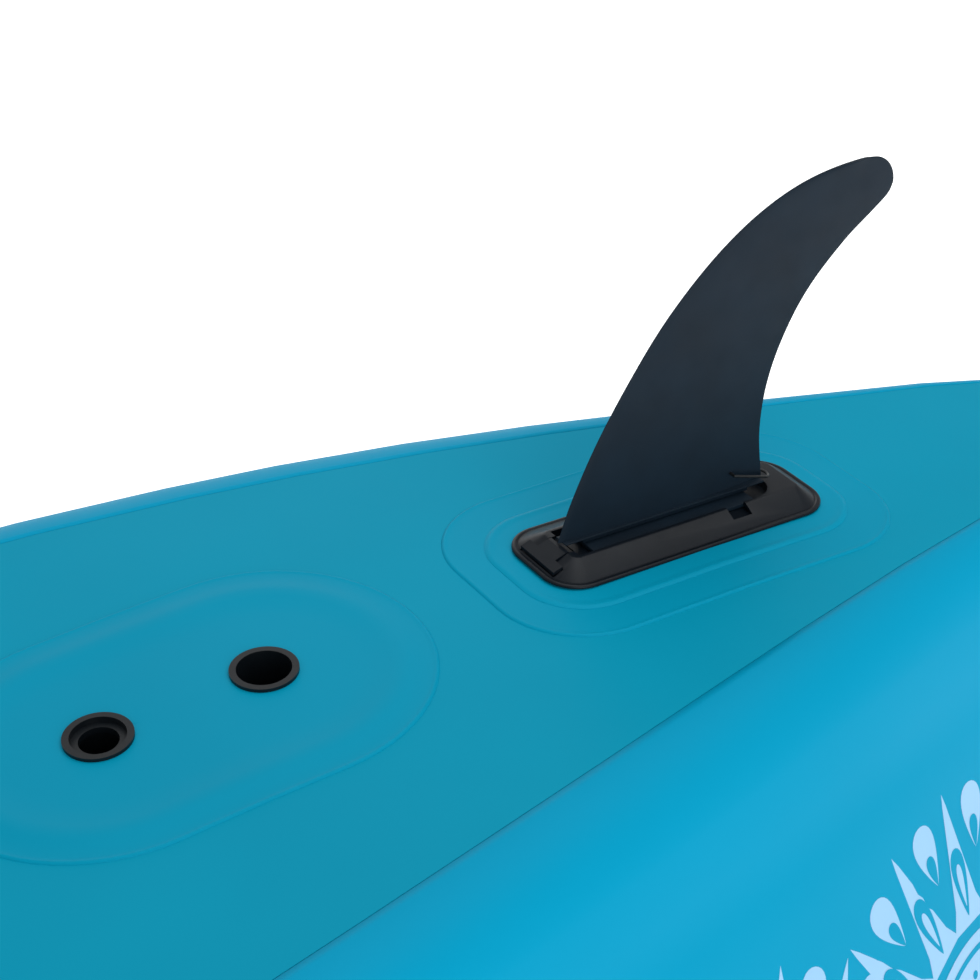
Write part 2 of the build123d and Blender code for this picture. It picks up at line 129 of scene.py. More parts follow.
# ---------------------------------------------------------------- finishes
@dataclass(frozen=True)
class Finish:
    """A material: what it is made of, how its surface was made, and the record slot it stands for."""

    name: str
    slot: str
    colour: str
    shade: str
    roughness: float
    ior: float = 1.5

    def material(self) -> bpy.types.Material:
        """Make the material, or give back the one already made.

        Returns:
            The material.
        """
        made = bpy.data.materials.get(self.name)
        if made:
            return made
        made = bpy.data.materials.new(self.name)
        made.use_nodes = True
        tree = made.node_tree
        tree.nodes.clear()
        shader = add_node(tree, "ShaderNodeBsdfPrincipled",
                          {"Base Color": linear(self.colour), "Roughness": self.roughness, "IOR": self.ior})
        add_node(tree, "ShaderNodeOutputMaterial", {"Surface": shader.outputs["BSDF"]})
        place = add_node(tree, "ShaderNodeTexCoord").outputs["Object"]
        self.dress(tree, shader, place)
        return made

    def dress(self, tree: bpy.types.NodeTree, shader: bpy.types.Node, place: bpy.types.NodeSocket) -> None:
        """Add the finish's own pattern; a plain finish has none.

        Args:
            tree: the node tree.
            shader: the surface shader.
            place: coordinates in the row frame, in metres.
        """

    def blotches(self, tree: bpy.types.NodeTree, shader: bpy.types.Node, place: bpy.types.NodeSocket,
                 size_mm: float, reach: float = 0.75) -> bpy.types.Node:
        """Drift the colour between the finish's two shades.

        Args:
            tree: the node tree.
            shader: the surface shader.
            place: coordinates in metres.
            size_mm: how large a blotch is.
            reach: where the second shade is full, from 0 to 1.

        Returns:
            The mixing node.
        """
        noise = add_node(tree, "ShaderNodeTexNoise",
                         {"Vector": place, "Scale": noise_scale(size_mm), "Detail": 3.0})
        ramp = add_node(tree, "ShaderNodeMapRange",
                        {"Value": noise.outputs["Fac"], "From Min": 1 - reach, "From Max": reach})
        mix = add_node(tree, "ShaderNodeMix", {"Factor": ramp.outputs["Result"]}, data_type="RGBA")
        mix.inputs[6].default_value = linear(self.colour)
        mix.inputs[7].default_value = linear(self.shade)
        tree.links.new(mix.outputs[2], shader.inputs["Base Color"])
        return mix

    def relief(self, tree: bpy.types.NodeTree, shader: bpy.types.Node,
               layers: Sequence[tuple[bpy.types.NodeSocket, float, float]]) -> None:
        """Stack bump layers.

        Args:
            tree: the node tree.
            shader: the surface shader.
            layers: for each layer its height socket, depth in millimetres and strength.
        """
        last = None
        for height, depth_mm, strength in layers:
            inputs = {"Height": height, "Distance": depth_mm * MM, "Strength": strength}
            if last:
                inputs["Normal"] = last
            last = add_node(tree, "ShaderNodeBump", inputs).outputs["Normal"]
        tree.links.new(last, shader.inputs["Normal"])

    def uneven(self, tree: bpy.types.NodeTree, shader: bpy.types.Node, share: bpy.types.NodeSocket,
               low: float, high: float) -> None:
        """Let a pattern vary the roughness.

        Args:
            tree: the node tree.
            shader: the surface shader.
            share: the pattern, from 0 to 1.
            low: change of the roughness where the pattern is 0.
            high: change where it is 1.
        """
        rough = add_node(tree, "ShaderNodeMapRange",
                         {"Value": share, "To Min": self.roughness + low, "To Max": self.roughness + high})
        tree.links.new(rough.outputs["Result"], shader.inputs["Roughness"])


@dataclass(frozen=True)
class CoatedFabric(Finish):
    """PVC-coated polyester, calendered: a satin skin through which the base cloth shows as a fine grid."""

    thread_mm: float = 2.6          # the real 1 mm thread, drawn coarser so that it shows
    drift_mm: float = 260.0         # how slowly the teal drifts
    pillow_mm: float = 26.0         # spacing of the drop stitches that dimple a tight panel
    pucker_mm: float = 120.0        # size of the sheet's puckers
    slack: float = 0.10             # and how much of them shows

    def dress(self, tree: bpy.types.NodeTree, shader: bpy.types.Node, place: bpy.types.NodeSocket) -> None:
        """Drift the teal, and press the cloth's grid and the stitch dimples into the skin.

        Args:
            tree: the node tree.
            shader: the surface shader.
            place: coordinates in metres.
        """
        self.blotches(tree, shader, place, self.drift_mm)
        bands = [add_node(tree, "ShaderNodeTexWave", {"Vector": place, "Scale": wave_scale(self.thread_mm)},
                          bands_direction=way).outputs["Fac"] for way in ("X", "Y")]
        cloth = add_node(tree, "ShaderNodeMath", {0: bands[0], 1: bands[1]}, operation="MULTIPLY").outputs[0]
        rows = [add_node(tree, "ShaderNodeTexWave", {"Vector": place, "Scale": wave_scale(self.pillow_mm)},
                         bands_direction=way).outputs["Fac"] for way in ("X", "Y")]
        dimples = add_node(tree, "ShaderNodeMath", {0: rows[0], 1: rows[1]}, operation="MAXIMUM").outputs[0]
        slack = add_node(tree, "ShaderNodeTexNoise",
                         {"Vector": place, "Scale": noise_scale(self.pucker_mm), "Detail": 2.0})
        self.relief(tree, shader, [(slack.outputs["Fac"], 2.0, self.slack), (dimples, 0.06, 0.12),
                                   (cloth, 0.05, 0.16)])
        self.uneven(tree, shader, slack.outputs["Fac"], -0.05, 0.07)
        shader.inputs["Specular IOR Level"].default_value = 0.05


@dataclass(frozen=True)
class MouldedPlastic(Finish):
    """Injection-moulded plastic from an etched tool: even grain, soft highlights, faint handling marks."""

    grain_mm: float = 0.8           # the tool's etched grain
    wear_mm: float = 18.0           # size of the patches that handling has polished
    gloss: float = 0.4              # how much of the usual mirror shine it has

    def dress(self, tree: bpy.types.NodeTree, shader: bpy.types.Node, place: bpy.types.NodeSocket) -> None:
        """Add the tool's etched grain and a slow drift of gloss.

        Args:
            tree: the node tree.
            shader: the surface shader.
            place: coordinates in metres.
        """
        self.blotches(tree, shader, place, 40.0)
        grain = add_node(tree, "ShaderNodeTexNoise", {"Vector": place, "Scale": noise_scale(self.grain_mm)})
        wear = add_node(tree, "ShaderNodeTexNoise",
                        {"Vector": place, "Scale": noise_scale(self.wear_mm), "Detail": 4.0})
        self.uneven(tree, shader, wear.outputs["Fac"], -0.07, 0.10)
        self.relief(tree, shader, [(grain.outputs["Fac"], 0.06, 0.35)])
        shader.inputs["Specular IOR Level"].default_value = self.gloss


@dataclass(frozen=True)
class CellFoam(Finish):
    """Closed-cell EVA foam, brushed: matt, with fine open pores on its skin."""

    pore_mm: float = 1.6

    def dress(self, tree: bpy.types.NodeTree, shader: bpy.types.Node, place: bpy.types.NodeSocket) -> None:
        """Pock the foam's skin.

        Args:
            tree: the node tree.
            shader: the surface shader.
            place: coordinates in metres.
        """
        self.blotches(tree, shader, place, 30.0)
        pores = add_node(tree, "ShaderNodeTexVoronoi", {"Vector": place, "Scale": noise_scale(self.pore_mm)})
        self.relief(tree, shader, [(pores.outputs["Distance"], 0.3, 0.5)])


@dataclass(frozen=True)
class Webbing(Finish):
    """Woven polyester webbing: ribs across the strap, their hollows painted darker as painted shade, and a
    soft sheen along the yarn.
    """

    rib_mm: float = 2.2
    yarn_mm: float = 3.0
    across: str = "X"

    def dress(self, tree: bpy.types.NodeTree, shader: bpy.types.Node, place: bpy.types.NodeSocket) -> None:
        """Weave the ribs, painting their hollows darker as painted shade.

        Args:
            tree: the node tree.
            shader: the surface shader.
            place: coordinates in metres.
        """
        ribs = add_node(tree, "ShaderNodeTexWave",
                        {"Vector": place, "Scale": wave_scale(self.rib_mm), "Distortion": 0.6,
                         "Detail Scale": 2.0}, bands_direction=self.across)
        yarn = add_node(tree, "ShaderNodeTexWave", {"Vector": place, "Scale": wave_scale(self.yarn_mm)},
                        bands_direction="Y")
        # painted shade: the colour darkens in the rib hollows, on the same wave that drives the bump
        mix = add_node(tree, "ShaderNodeMix", {"Factor": ribs.outputs["Fac"]}, data_type="RGBA")
        mix.inputs[6].default_value = linear(self.shade)
        mix.inputs[7].default_value = linear(self.colour)
        tree.links.new(mix.outputs[2], shader.inputs["Base Color"])
        self.relief(tree, shader, [(ribs.outputs["Fac"], 0.5, 0.6), (yarn.outputs["Fac"], 0.2, 0.35)])
        shader.inputs["Sheen Weight"].default_value = 0.25


@dataclass(frozen=True)
class DrawnWire(Finish):
    """Stainless wire, drawn and tumbled: bright, with faint scratches that break the glint."""

    scratch_mm: float = 1.5

    def dress(self, tree: bpy.types.NodeTree, shader: bpy.types.Node, place: bpy.types.NodeSocket) -> None:
        """Make it metal and scratch it.

        Args:
            tree: the node tree.
            shader: the surface shader.
            place: coordinates in metres.
        """
        shader.inputs["Metallic"].default_value = 1.0
        marks = add_node(tree, "ShaderNodeTexNoise",
                         {"Vector": place, "Scale": noise_scale(self.scratch_mm), "Detail": 6.0})
        self.uneven(tree, shader, marks.outputs["Fac"], 0.0, 0.18)
        self.relief(tree, shader, [(marks.outputs["Fac"], 0.03, 0.3)])


class Finishes(Enum):
    """Every finish on the craft."""

    PANEL = CoatedFabric("coated_fabric_panel", "teal_pvc", "#0096B6", "#008FAF", 0.50)
    WALL = CoatedFabric("coated_fabric_wall", "wall_pvc", "#0098C0", "#0095BC", 0.48)
    PATCH = CoatedFabric("coated_fabric_patch", "patch_pvc", "#0095B7", "#008FB0", 0.46, slack=0.22)
    # painted shade: a darker teal for the strip under the seam gap, so the seam shows as a dark shadow line
    SEAM_SHADE = CoatedFabric("coated_fabric_seam_strip", "wall_pvc", "#007E9C", "#007792", 0.50)
    BLACK = MouldedPlastic("moulded_nylon_black", "black_nylon", "#080F17", "#0C141C", 0.36, gloss=0.22)
    DRAIN = MouldedPlastic("moulded_nylon_drain", "black_nylon", "#0A1015", "#0F161B", 0.34, gloss=0.3)
    FIN = MouldedPlastic("moulded_fin_plastic", "fin_plastic", "#12222F", "#0E1B26", 0.52,
                         grain_mm=1.0, gloss=0.16)
    CORD = MouldedPlastic("nylon_coated_wire", "steel_wire", "#121619", "#0C0F11", 0.45)
    GREY = MouldedPlastic("moulded_valve_plastic", "valve_grey", "#474C50", "#3F4448", 0.42)
    FOAM = CellFoam("brushed_eva_foam", "eva_pad", "#596269", "#50585F", 0.85)
    GRIP = CellFoam("neoprene_sleeve", "grip_foam", "#1D2022", "#24282A", 0.80, pore_mm=1.1)
    WEB = Webbing("woven_polyester_webbing", "webbing", "#1A1D20", "#0C0E10", 0.75)
    THREAD = Webbing("twisted_polyester_thread", "webbing", "#3A4045", "#2A2F33", 0.70, rib_mm=1.0)
    INK = CoatedFabric("screen_printed_ink_pale", "wall_pvc", "#9FCBEC", "#96C5E8", 0.46)
    WIRE = DrawnWire("drawn_stainless_wire", "steel_wire", "#C6C8CA", "#C6C8CA", 0.16)


# ---------------------------------------------------------------- mesh helpers
def new_object(name: str, points: Iterable[Vector], faces: Iterable[Sequence[int]]) -> bpy.types.Object:
    """Make a mesh object, with its faces turned outwards.

    Args:
        name: the object's name.
        points: vertices in metres.
        faces: vertex numbers of each face.

    Returns:
        The object, smooth shaded and linked to the scene.
    """
    mesh = bpy.data.meshes.new(name)
    mesh.from_pydata([tuple(p) for p in points], [], [tuple(f) for f in faces])
    mesh.validate()
    bm = bmesh.new()
    bm.from_mesh(mesh)
    bmesh.ops.remove_doubles(bm, verts=bm.verts, dist=1e-6)
    bmesh.ops.recalc_face_normals(bm, faces=bm.faces)
    bm.to_mesh(mesh)
    bm.free()
    made = bpy.data.objects.new(name, mesh)
    bpy.context.collection.objects.link(made)
    mesh.shade_smooth()
    return made


def loft(name: str, rows: Sequence[Sequence[Vector]], round_rows: bool = False,
         capped: bool = False) -> bpy.types.Object:
    """Skin a grid of points.

    Args:
        name: the object's name.
        rows: equally long rows of points.
        round_rows: True if each row closes on itself.
        capped: True to fill the first and last row.

    Returns:
        The new object.
    """
    wide = len(rows[0])
    points = [p for row in rows for p in row]
    faces = []
    for i in range(len(rows) - 1):
        for j in range(wide if round_rows else wide - 1):
            k = (j + 1) % wide
            faces.append((i * wide + j, i * wide + k, (i + 1) * wide + k, (i + 1) * wide + j))
    if capped:
        faces += [tuple(range(wide)), tuple(range((len(rows) - 1) * wide, len(rows) * wide))]
    return new_object(name, points, faces)


def apply_modifiers(piece: bpy.types.Object) -> bpy.types.Object:
    """Bake a piece's modifiers into its mesh.

    Args:
        piece: the piece.

    Returns:
        The piece.
    """
    graph = bpy.context.evaluated_depsgraph_get()
    mesh = bpy.data.meshes.new_from_object(piece.evaluated_get(graph))
    piece.modifiers.clear()
    piece.data = mesh
    return piece


def thicken(piece: bpy.types.Object, depth_mm: float, offset: float = -1.0) -> bpy.types.Object:
    """Give a sheet its thickness.

    Args:
        piece: the sheet.
        depth_mm: its thickness.
        offset: -1 grows inwards, 1 outwards.

    Returns:
        The piece.
    """
    solid = piece.modifiers.new("thickness", "SOLIDIFY")
    solid.thickness, solid.offset = depth_mm * MM, offset
    return apply_modifiers(piece)


def cut(piece: bpy.types.Object, tools: Sequence[bpy.types.Object]) -> bpy.types.Object:
    """Cut holes in a closed piece with throwaway solids.

    Args:
        piece: the piece to cut.
        tools: the solids to take away; they are deleted.

    Returns:
        The piece.
    """
    for tool in tools:
        hole = piece.modifiers.new("hole", "BOOLEAN")
        hole.operation, hole.object, hole.solver = "DIFFERENCE", tool, "EXACT"
        apply_modifiers(piece)
    for tool in tools:
        bpy.data.objects.remove(tool)
    piece.data.shade_smooth()
    return piece


def crease(piece: bpy.types.Object, degrees: float = 35.0) -> bpy.types.Object:
    """Keep edges sharper than this angle crisp, and give the piece back."""
    piece.data.set_sharp_from_angle(angle=math.radians(degrees))
    return piece


def bevel(piece: bpy.types.Object, width_mm: float, segments: int = 2) -> bpy.types.Object:
    """Round the sharp edges of a piece.

    Args:
        piece: the piece.
        width_mm: width of the rounding.
        segments: faces across it.

    Returns:
        The piece.
    """
    edge = piece.modifiers.new("edges", "BEVEL")
    edge.width, edge.segments, edge.limit_method = width_mm * MM, segments, "ANGLE"
    edge.angle_limit = math.radians(40)
    return crease(apply_modifiers(piece), 50)


def cylinder(name: str, frame: Matrix, radius: float, low: float, high: float) -> bpy.types.Object:
    """Make a throwaway cylinder along a frame's z, sizes in millimetres.

    Args:
        name: the object's name.
        frame: where it stands, in metres.
        radius: its radius.
        low: its lower end.
        high: its upper end.

    Returns:
        The cylinder.
    """
    count = 96
    rows = [[frame @ (Vector((radius * math.cos(2 * math.pi * n / count),
                              radius * math.sin(2 * math.pi * n / count), z)) * MM) for n in range(count)]
            for z in (low, high)]
    return loft(name, rows, round_rows=True, capped=True)


def arc(centre: Pair, radius: float, start: float, end: float, count: int) -> list[Pair]:
    """Points on a circle of a section.

    Args:
        centre: its centre.
        radius: its radius.
        start: first angle in degrees from straight out.
        end: last angle.
        count: how many points.

    Returns:
        The points.
    """
    turns = [math.radians(start + (end - start) * n / (count - 1)) for n in range(count)]
    return [(centre[0] + radius * math.cos(a), centre[1] + radius * math.sin(a)) for a in turns]


def cubic(points: Sequence[Pair], x: float) -> float:
    """Value at x of a smooth curve through (x, value) points.

    Args:
        points: the points, in order of x.
        x: where to read it.

    Returns:
        The value, held level past either end.
    """
    if x <= points[0][0]:
        return points[0][1]
    if x >= points[-1][0]:
        return points[-1][1]
    i = max(n for n, p in enumerate(points) if p[0] <= x)
    (x0, y0), (x1, y1) = points[i], points[i + 1]

    def slope(n: int) -> float:
        """Slope at one of the points, from its neighbours."""
        before, after = points[max(n - 1, 0)], points[min(n + 1, len(points) - 1)]
        return (after[1] - before[1]) / (after[0] - before[0])
    h = x1 - x0
    u = (x - x0) / h
    return ((1 + 2 * u) * (1 - u) ** 2 * y0 + u * (1 - u) ** 2 * h * slope(i)
            + u * u * (3 - 2 * u) * y1 + u * u * (u - 1) * h * slope(i + 1))


def finish_piece(piece: bpy.types.Object, finish: Finishes, body: str, *nodes: str) -> bpy.types.Object:
    """Dress a piece, let it ride on a body and stand for CAD nodes.

    Args:
        piece: the piece.
        finish: its finish.
        body: the body that it rides on.
        *nodes: CAD nodes that it stands for.

    Returns:
        The piece.
    """
    piece.data.materials.clear()
    piece.data.materials.append(finish.value.material())
    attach(piece, body)
    if nodes:
        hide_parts(*nodes)
    LOG.info("%s on %s", piece.name, body)
    return piece


# ---------------------------------------------------------------- hull form
@dataclass
class Hull:
    """The craft's form, shared by every piece: seam, rocker, flare and section."""

    half_length: float = 1900.0
    floor_aft: float = 1800.0
    floor_fore: float = -1790.0
    floor_thickness: float = 130.0
    aft_flat_end: float = 780.0
    fore_flat_end: float = -600.0
    aft_rocker: float = 1.145e-4
    aft_taper: float = 1090.0
    fore_taper: float = -900.0
    tip_height: float = -230.0
    chine_r: float = 65.0
    chine_end: float = 62.0
    wall_start: Pair = (71.0, -66.0)
    wall_angle: float = 65.0
    wall_length: float = 210.0
    wall_r: float = 45.0
    seam: tuple[Pair, ...] = ((-1790, 0), (-1750, 17), (-1670, 44), (-1560, 78), (-1400, 128), (-1100, 196),
                              (-700, 254), (-250, 283), (200, 286), (560, 265), (840, 226), (1056, 184),
                              (1240, 140), (1420, 96), (1560, 67), (1680, 34), (1760, 13), (1800, 0))
    stations: tuple[float, ...] = (-1850, -1790, -1740, -1660, -1560, -1420, -1200, -900, -500, 0, 420, 780,
                                   885, 985, 1062, 1150, 1240, 1345, 1440, 1535, 1620, 1690, 1750, 1800, 1860)
    drains: Pair = (829.8, 939.0)
    drain_hole_r: float = 19.8
    box_x: float = 1240.0
    box_seat: float = 1.8
    shift: Vector = field(default_factory=Vector)

    def __post_init__(self) -> None:
        """Read from the frame how far the hull's own zero lies from the row's."""
        low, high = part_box("bottom_skin")
        self.shift = Vector((low.x / MM - (self.floor_fore + 10), 0, high.z / MM))
        lift = self.aft_rocker * (self.half_length - self.aft_flat_end) ** 2
        self.fore_rocker = lift / (self.half_length + self.fore_flat_end) ** 2

    def ruled(self, value: Callable[[float], float], x: float) -> float:
        """Value at x on the straight rulings between two stations.

        Args:
            value: gives the value on a station.
            x: where to read it.

        Returns:
            The value.
        """
        if not self.stations[0] <= x <= self.stations[-1]:
            return value(x)
        i = max(0, min(len(self.stations) - 2, sum(1 for s in self.stations if s <= x) - 1))
        a, b = self.stations[i], self.stations[i + 1]
        return value(a) + (value(b) - value(a)) * (x - a) / (b - a)

    def drop(self, x: float) -> float:
        """How far the keel line has dropped at x."""
        return self.ruled(lambda s: self.aft_rocker * max(0.0, s - self.aft_flat_end) ** 2
                          + self.fore_rocker * max(0.0, self.fore_flat_end - s) ** 2, x)

    def half_width(self, x: float) -> float:
        """Half the floor's width at x."""
        return self.ruled(lambda s: cubic(self.seam, s), x)

    def flare(self, x: float) -> float:
        """How much of its full flare the wall has at x."""
        return self.ruled(self.flare_on_station, x)

    def flare_on_station(self, s: float) -> float:
        """The flare on a station.

        Args:
            s: the station.

        Returns:
            1 amidships, less towards the tips.
        """
        start = self.aft_taper if s > 0 else self.fore_taper
        end = self.half_length if s > 0 else -self.half_length
        r = (s - start) / (end - start)
        return 1.0 if r <= 0 else max(0.0, 1 - r ** 1.6) ** 1.1

    def stem(self, x: float) -> float:
        """How much of its full height the section has at x."""
        return self.ruled(self.stem_on_station, x)

    def stem_on_station(self, s: float) -> float:
        """The section's height on a station.

        Args:
            s: the station.

        Returns:
            1 along the floor, less past its ends.
        """
        end, tip = (self.floor_aft, self.half_length) if s > 0 else (self.floor_fore, -self.half_length)
        r = (s - end) / (tip - end)
        return 1.0 if r <= 0 else math.sqrt(max(0.0, 1 - r * r))

    def point(self, x: float, out: float, height: float, side: int = 1) -> Vector:
        """A section point in the row frame, in metres.

        Args:
            x: station along the craft.
            out: distance out from the floor seam.
            height: height under the floor's underside, below zero.
            side: 1 for port, -1 for starboard.

        Returns:
            The point.
        """
        z = self.tip_height + (height - self.tip_height) * self.stem(x)
        y = max(0.2, self.half_width(x) + self.flare(x) * out)
        return (Vector((x, side * y, z - self.drop(x))) + self.shift) * MM

    def floor_point(self, x: float, y: float, height: float = 0.0) -> Vector:
        """A point over the floor's underside, in the row frame, in metres."""
        return (Vector((x, y, height - self.drop(x))) + self.shift) * MM

    def wall(self, s: float, inset: float = 0.0) -> Pair:
        """Section point of the wall's outer face.

        Args:
            s: how far down the wall.
            inset: how far inwards, square to it.

        Returns:
            The point.
        """
        a = math.radians(self.wall_angle)
        return (self.wall_start[0] + s * math.cos(a) - inset * math.sin(a),
                self.wall_start[1] - s * math.sin(a) - inset * math.cos(a))

    def axes(self, origin: Vector, along: Vector, normal: Vector) -> Matrix:
        """A frame with its x along and its z on the normal.

        Args:
            origin: where it stands, in metres.
            along: direction of x.
            normal: rough direction of z.

        Returns:
            The frame.
        """
        x = along.normalized()
        z = (normal - x * normal.dot(x)).normalized()
        y = z.cross(x)
        turn = Matrix((x, y, z)).transposed().to_4x4()
        return Matrix.Translation(origin) @ turn

    def floor_frame(self, x: float, height: float, up: int = 1) -> Matrix:
        """A frame on the floor's centreline that looks out of the underside (1) or the deck (-1)."""
        along = Vector((1, 0, -(self.drop(x + 5) - self.drop(x - 5)) / 10))
        return self.axes(self.floor_point(x, 0, height), along, Vector((0, 0, up)))

    def box_frame(self) -> Matrix:
        """The frame of the fin box, on the pad that it is glued to."""
        return self.floor_frame(self.box_x, self.box_seat)

    def drain_cutters(self, low: float, high: float) -> list[bpy.types.Object]:
        """Throwaway cylinders for the two drain holes, between two heights."""
        return [cylinder("tool", self.floor_frame(x, 0), self.drain_hole_r, low, high) for x in self.drains]

    def wall_frame(self, x: float, section: Pair, normal: Pair, side: int) -> Matrix:
        """A frame on the wall.

        Args:
            x: station.
            section: section point it stands on.
            normal: outward normal in the section, (y, z).
            side: 1 for port, -1 for starboard.

        Returns:
            The frame.
        """
        along = self.point(x + 5, *section, side) - self.point(x - 5, *section, side)
        return self.axes(self.point(x, *section, side), along, Vector((0, side * normal[0], normal[1])))

    def gunwale(self) -> Pair:
        """Centre of the gunwale's round in the section."""
        return self.wall(self.wall_length, self.wall_r)

    def steps(self, low: float, high: float, longest: float = 60.0) -> list[float]:
        """Stations between two ends, with the long stretches divided.

        Args:
            low: the first end.
            high: the other end.
            longest: the longest stretch that is left.

        Returns:
            The stations.
        """
        fixed = [low] + [s for s in self.stations if low + 1 < s < high - 1] + [high]
        marks = [fixed[0]]
        for a, b in zip(fixed, fixed[1:]):
            count = max(1, math.ceil((b - a) / longest))
            marks += [a + (b - a) * n / count for n in range(1, count + 1)]
        return marks


# ---------------------------------------------------------------- floor chamber
@dataclass
class FloorChamber:
    """The board's floor: its two panels and the narrow seams round them."""

    hull: Hull
    skin: float = 2.0
    seam_gap: float = 0.6
    valve_x: float = 1100.0
    valve_hole_r: float = 24.3
    seam_depth: float = -0.3
    bead: tuple[Pair, ...] = ((-16, 0.1), (-15, 0.9), (-4, 1.1), (1.4, 3.2), (4.6, 9.0), (9.8, 20.0),
                              (10.6, 21.2))     # distance out from the floor's edge, and depth under it

    def build(self) -> None:
        """Make the underside panel, the deck panel and the seams."""
        under = self.panel("underside_panel", 0.0)
        cut(under, self.hull.drain_cutters(-20, 20))
        finish_piece(crease(under), Finishes.PANEL, "hull", "bottom_skin")
        deck = self.panel("deck_panel", -self.hull.floor_thickness + self.skin)
        tools = self.hull.drain_cutters(-170, -90)
        tools.append(cylinder("tool", self.hull.floor_frame(self.valve_x, -self.hull.floor_thickness, -1),
                              self.valve_hole_r, -20, 20))
        finish_piece(crease(cut(deck, tools)), Finishes.PANEL, "hull", "deck_skin")
        for side, tag in ((1, "port"), (-1, "starboard")):
            self.seam(side, f"painted_shade_seam_strip_{tag}")
            self.deck_bead(side, f"deck_seam_{tag}")

    def panel(self, name: str, top: float) -> bpy.types.Object:
        """Make a panel as a closed thin solid.

        Args:
            name: the piece's name.
            top: height of its upper face.

        Returns:
            The panel.
        """
        rows = []
        for x in self.hull.steps(self.hull.floor_fore + 10, self.hull.floor_aft - 8):
            half = self.hull.half_width(x) - self.seam_gap
            across = [half * (n / 6 - 1) for n in range(13)]
            upper = [self.hull.floor_point(x, y, top) for y in across]
            lower = [self.hull.floor_point(x, y, top - self.skin) for y in reversed(across)]
            rows.append(upper + lower)
        return loft(name, rows, round_rows=True, capped=True)

    def seam(self, side: int, name: str) -> None:
        """Weld the backing strip that closes the narrow seam between the underside and the hull side; its
        darker teal, seen through the gap, is painted shade for the seam's dark line.

        Args:
            side: 1 for port, -1 for starboard.
            name: the piece's name.
        """
        line = [(-3.0, -2.3), (-1.2, -2.2), (-0.9, self.seam_depth), (0.3, self.seam_depth), (0.5, -2.2),
                (3.0, -2.3)]
        rows = [[self.hull.point(x, out, height, side) for out, height in line]
                for x in self.hull.steps(self.hull.floor_fore + 12, self.hull.floor_aft - 10)]
        # the strip's darker teal is painted shade that shows through the seam gap
        finish_piece(loft(name, rows), Finishes.SEAM_SHADE, "hull")

    def deck_bead(self, side: int, name: str) -> None:
        """Run the sealing bead in the corner between the deck panel and the cockpit side.

        Args:
            side: 1 for port, -1 for starboard.
            name: the piece's name.
        """
        hull = self.hull
        base = -hull.floor_thickness
        rows = []
        for x in hull.steps(hull.floor_fore + 30, hull.floor_aft - 30):
            rows.append([hull.point(x, out, base - depth, side) for out, depth in self.bead])
        finish_piece(loft(name, rows), Finishes.PATCH, "hull")


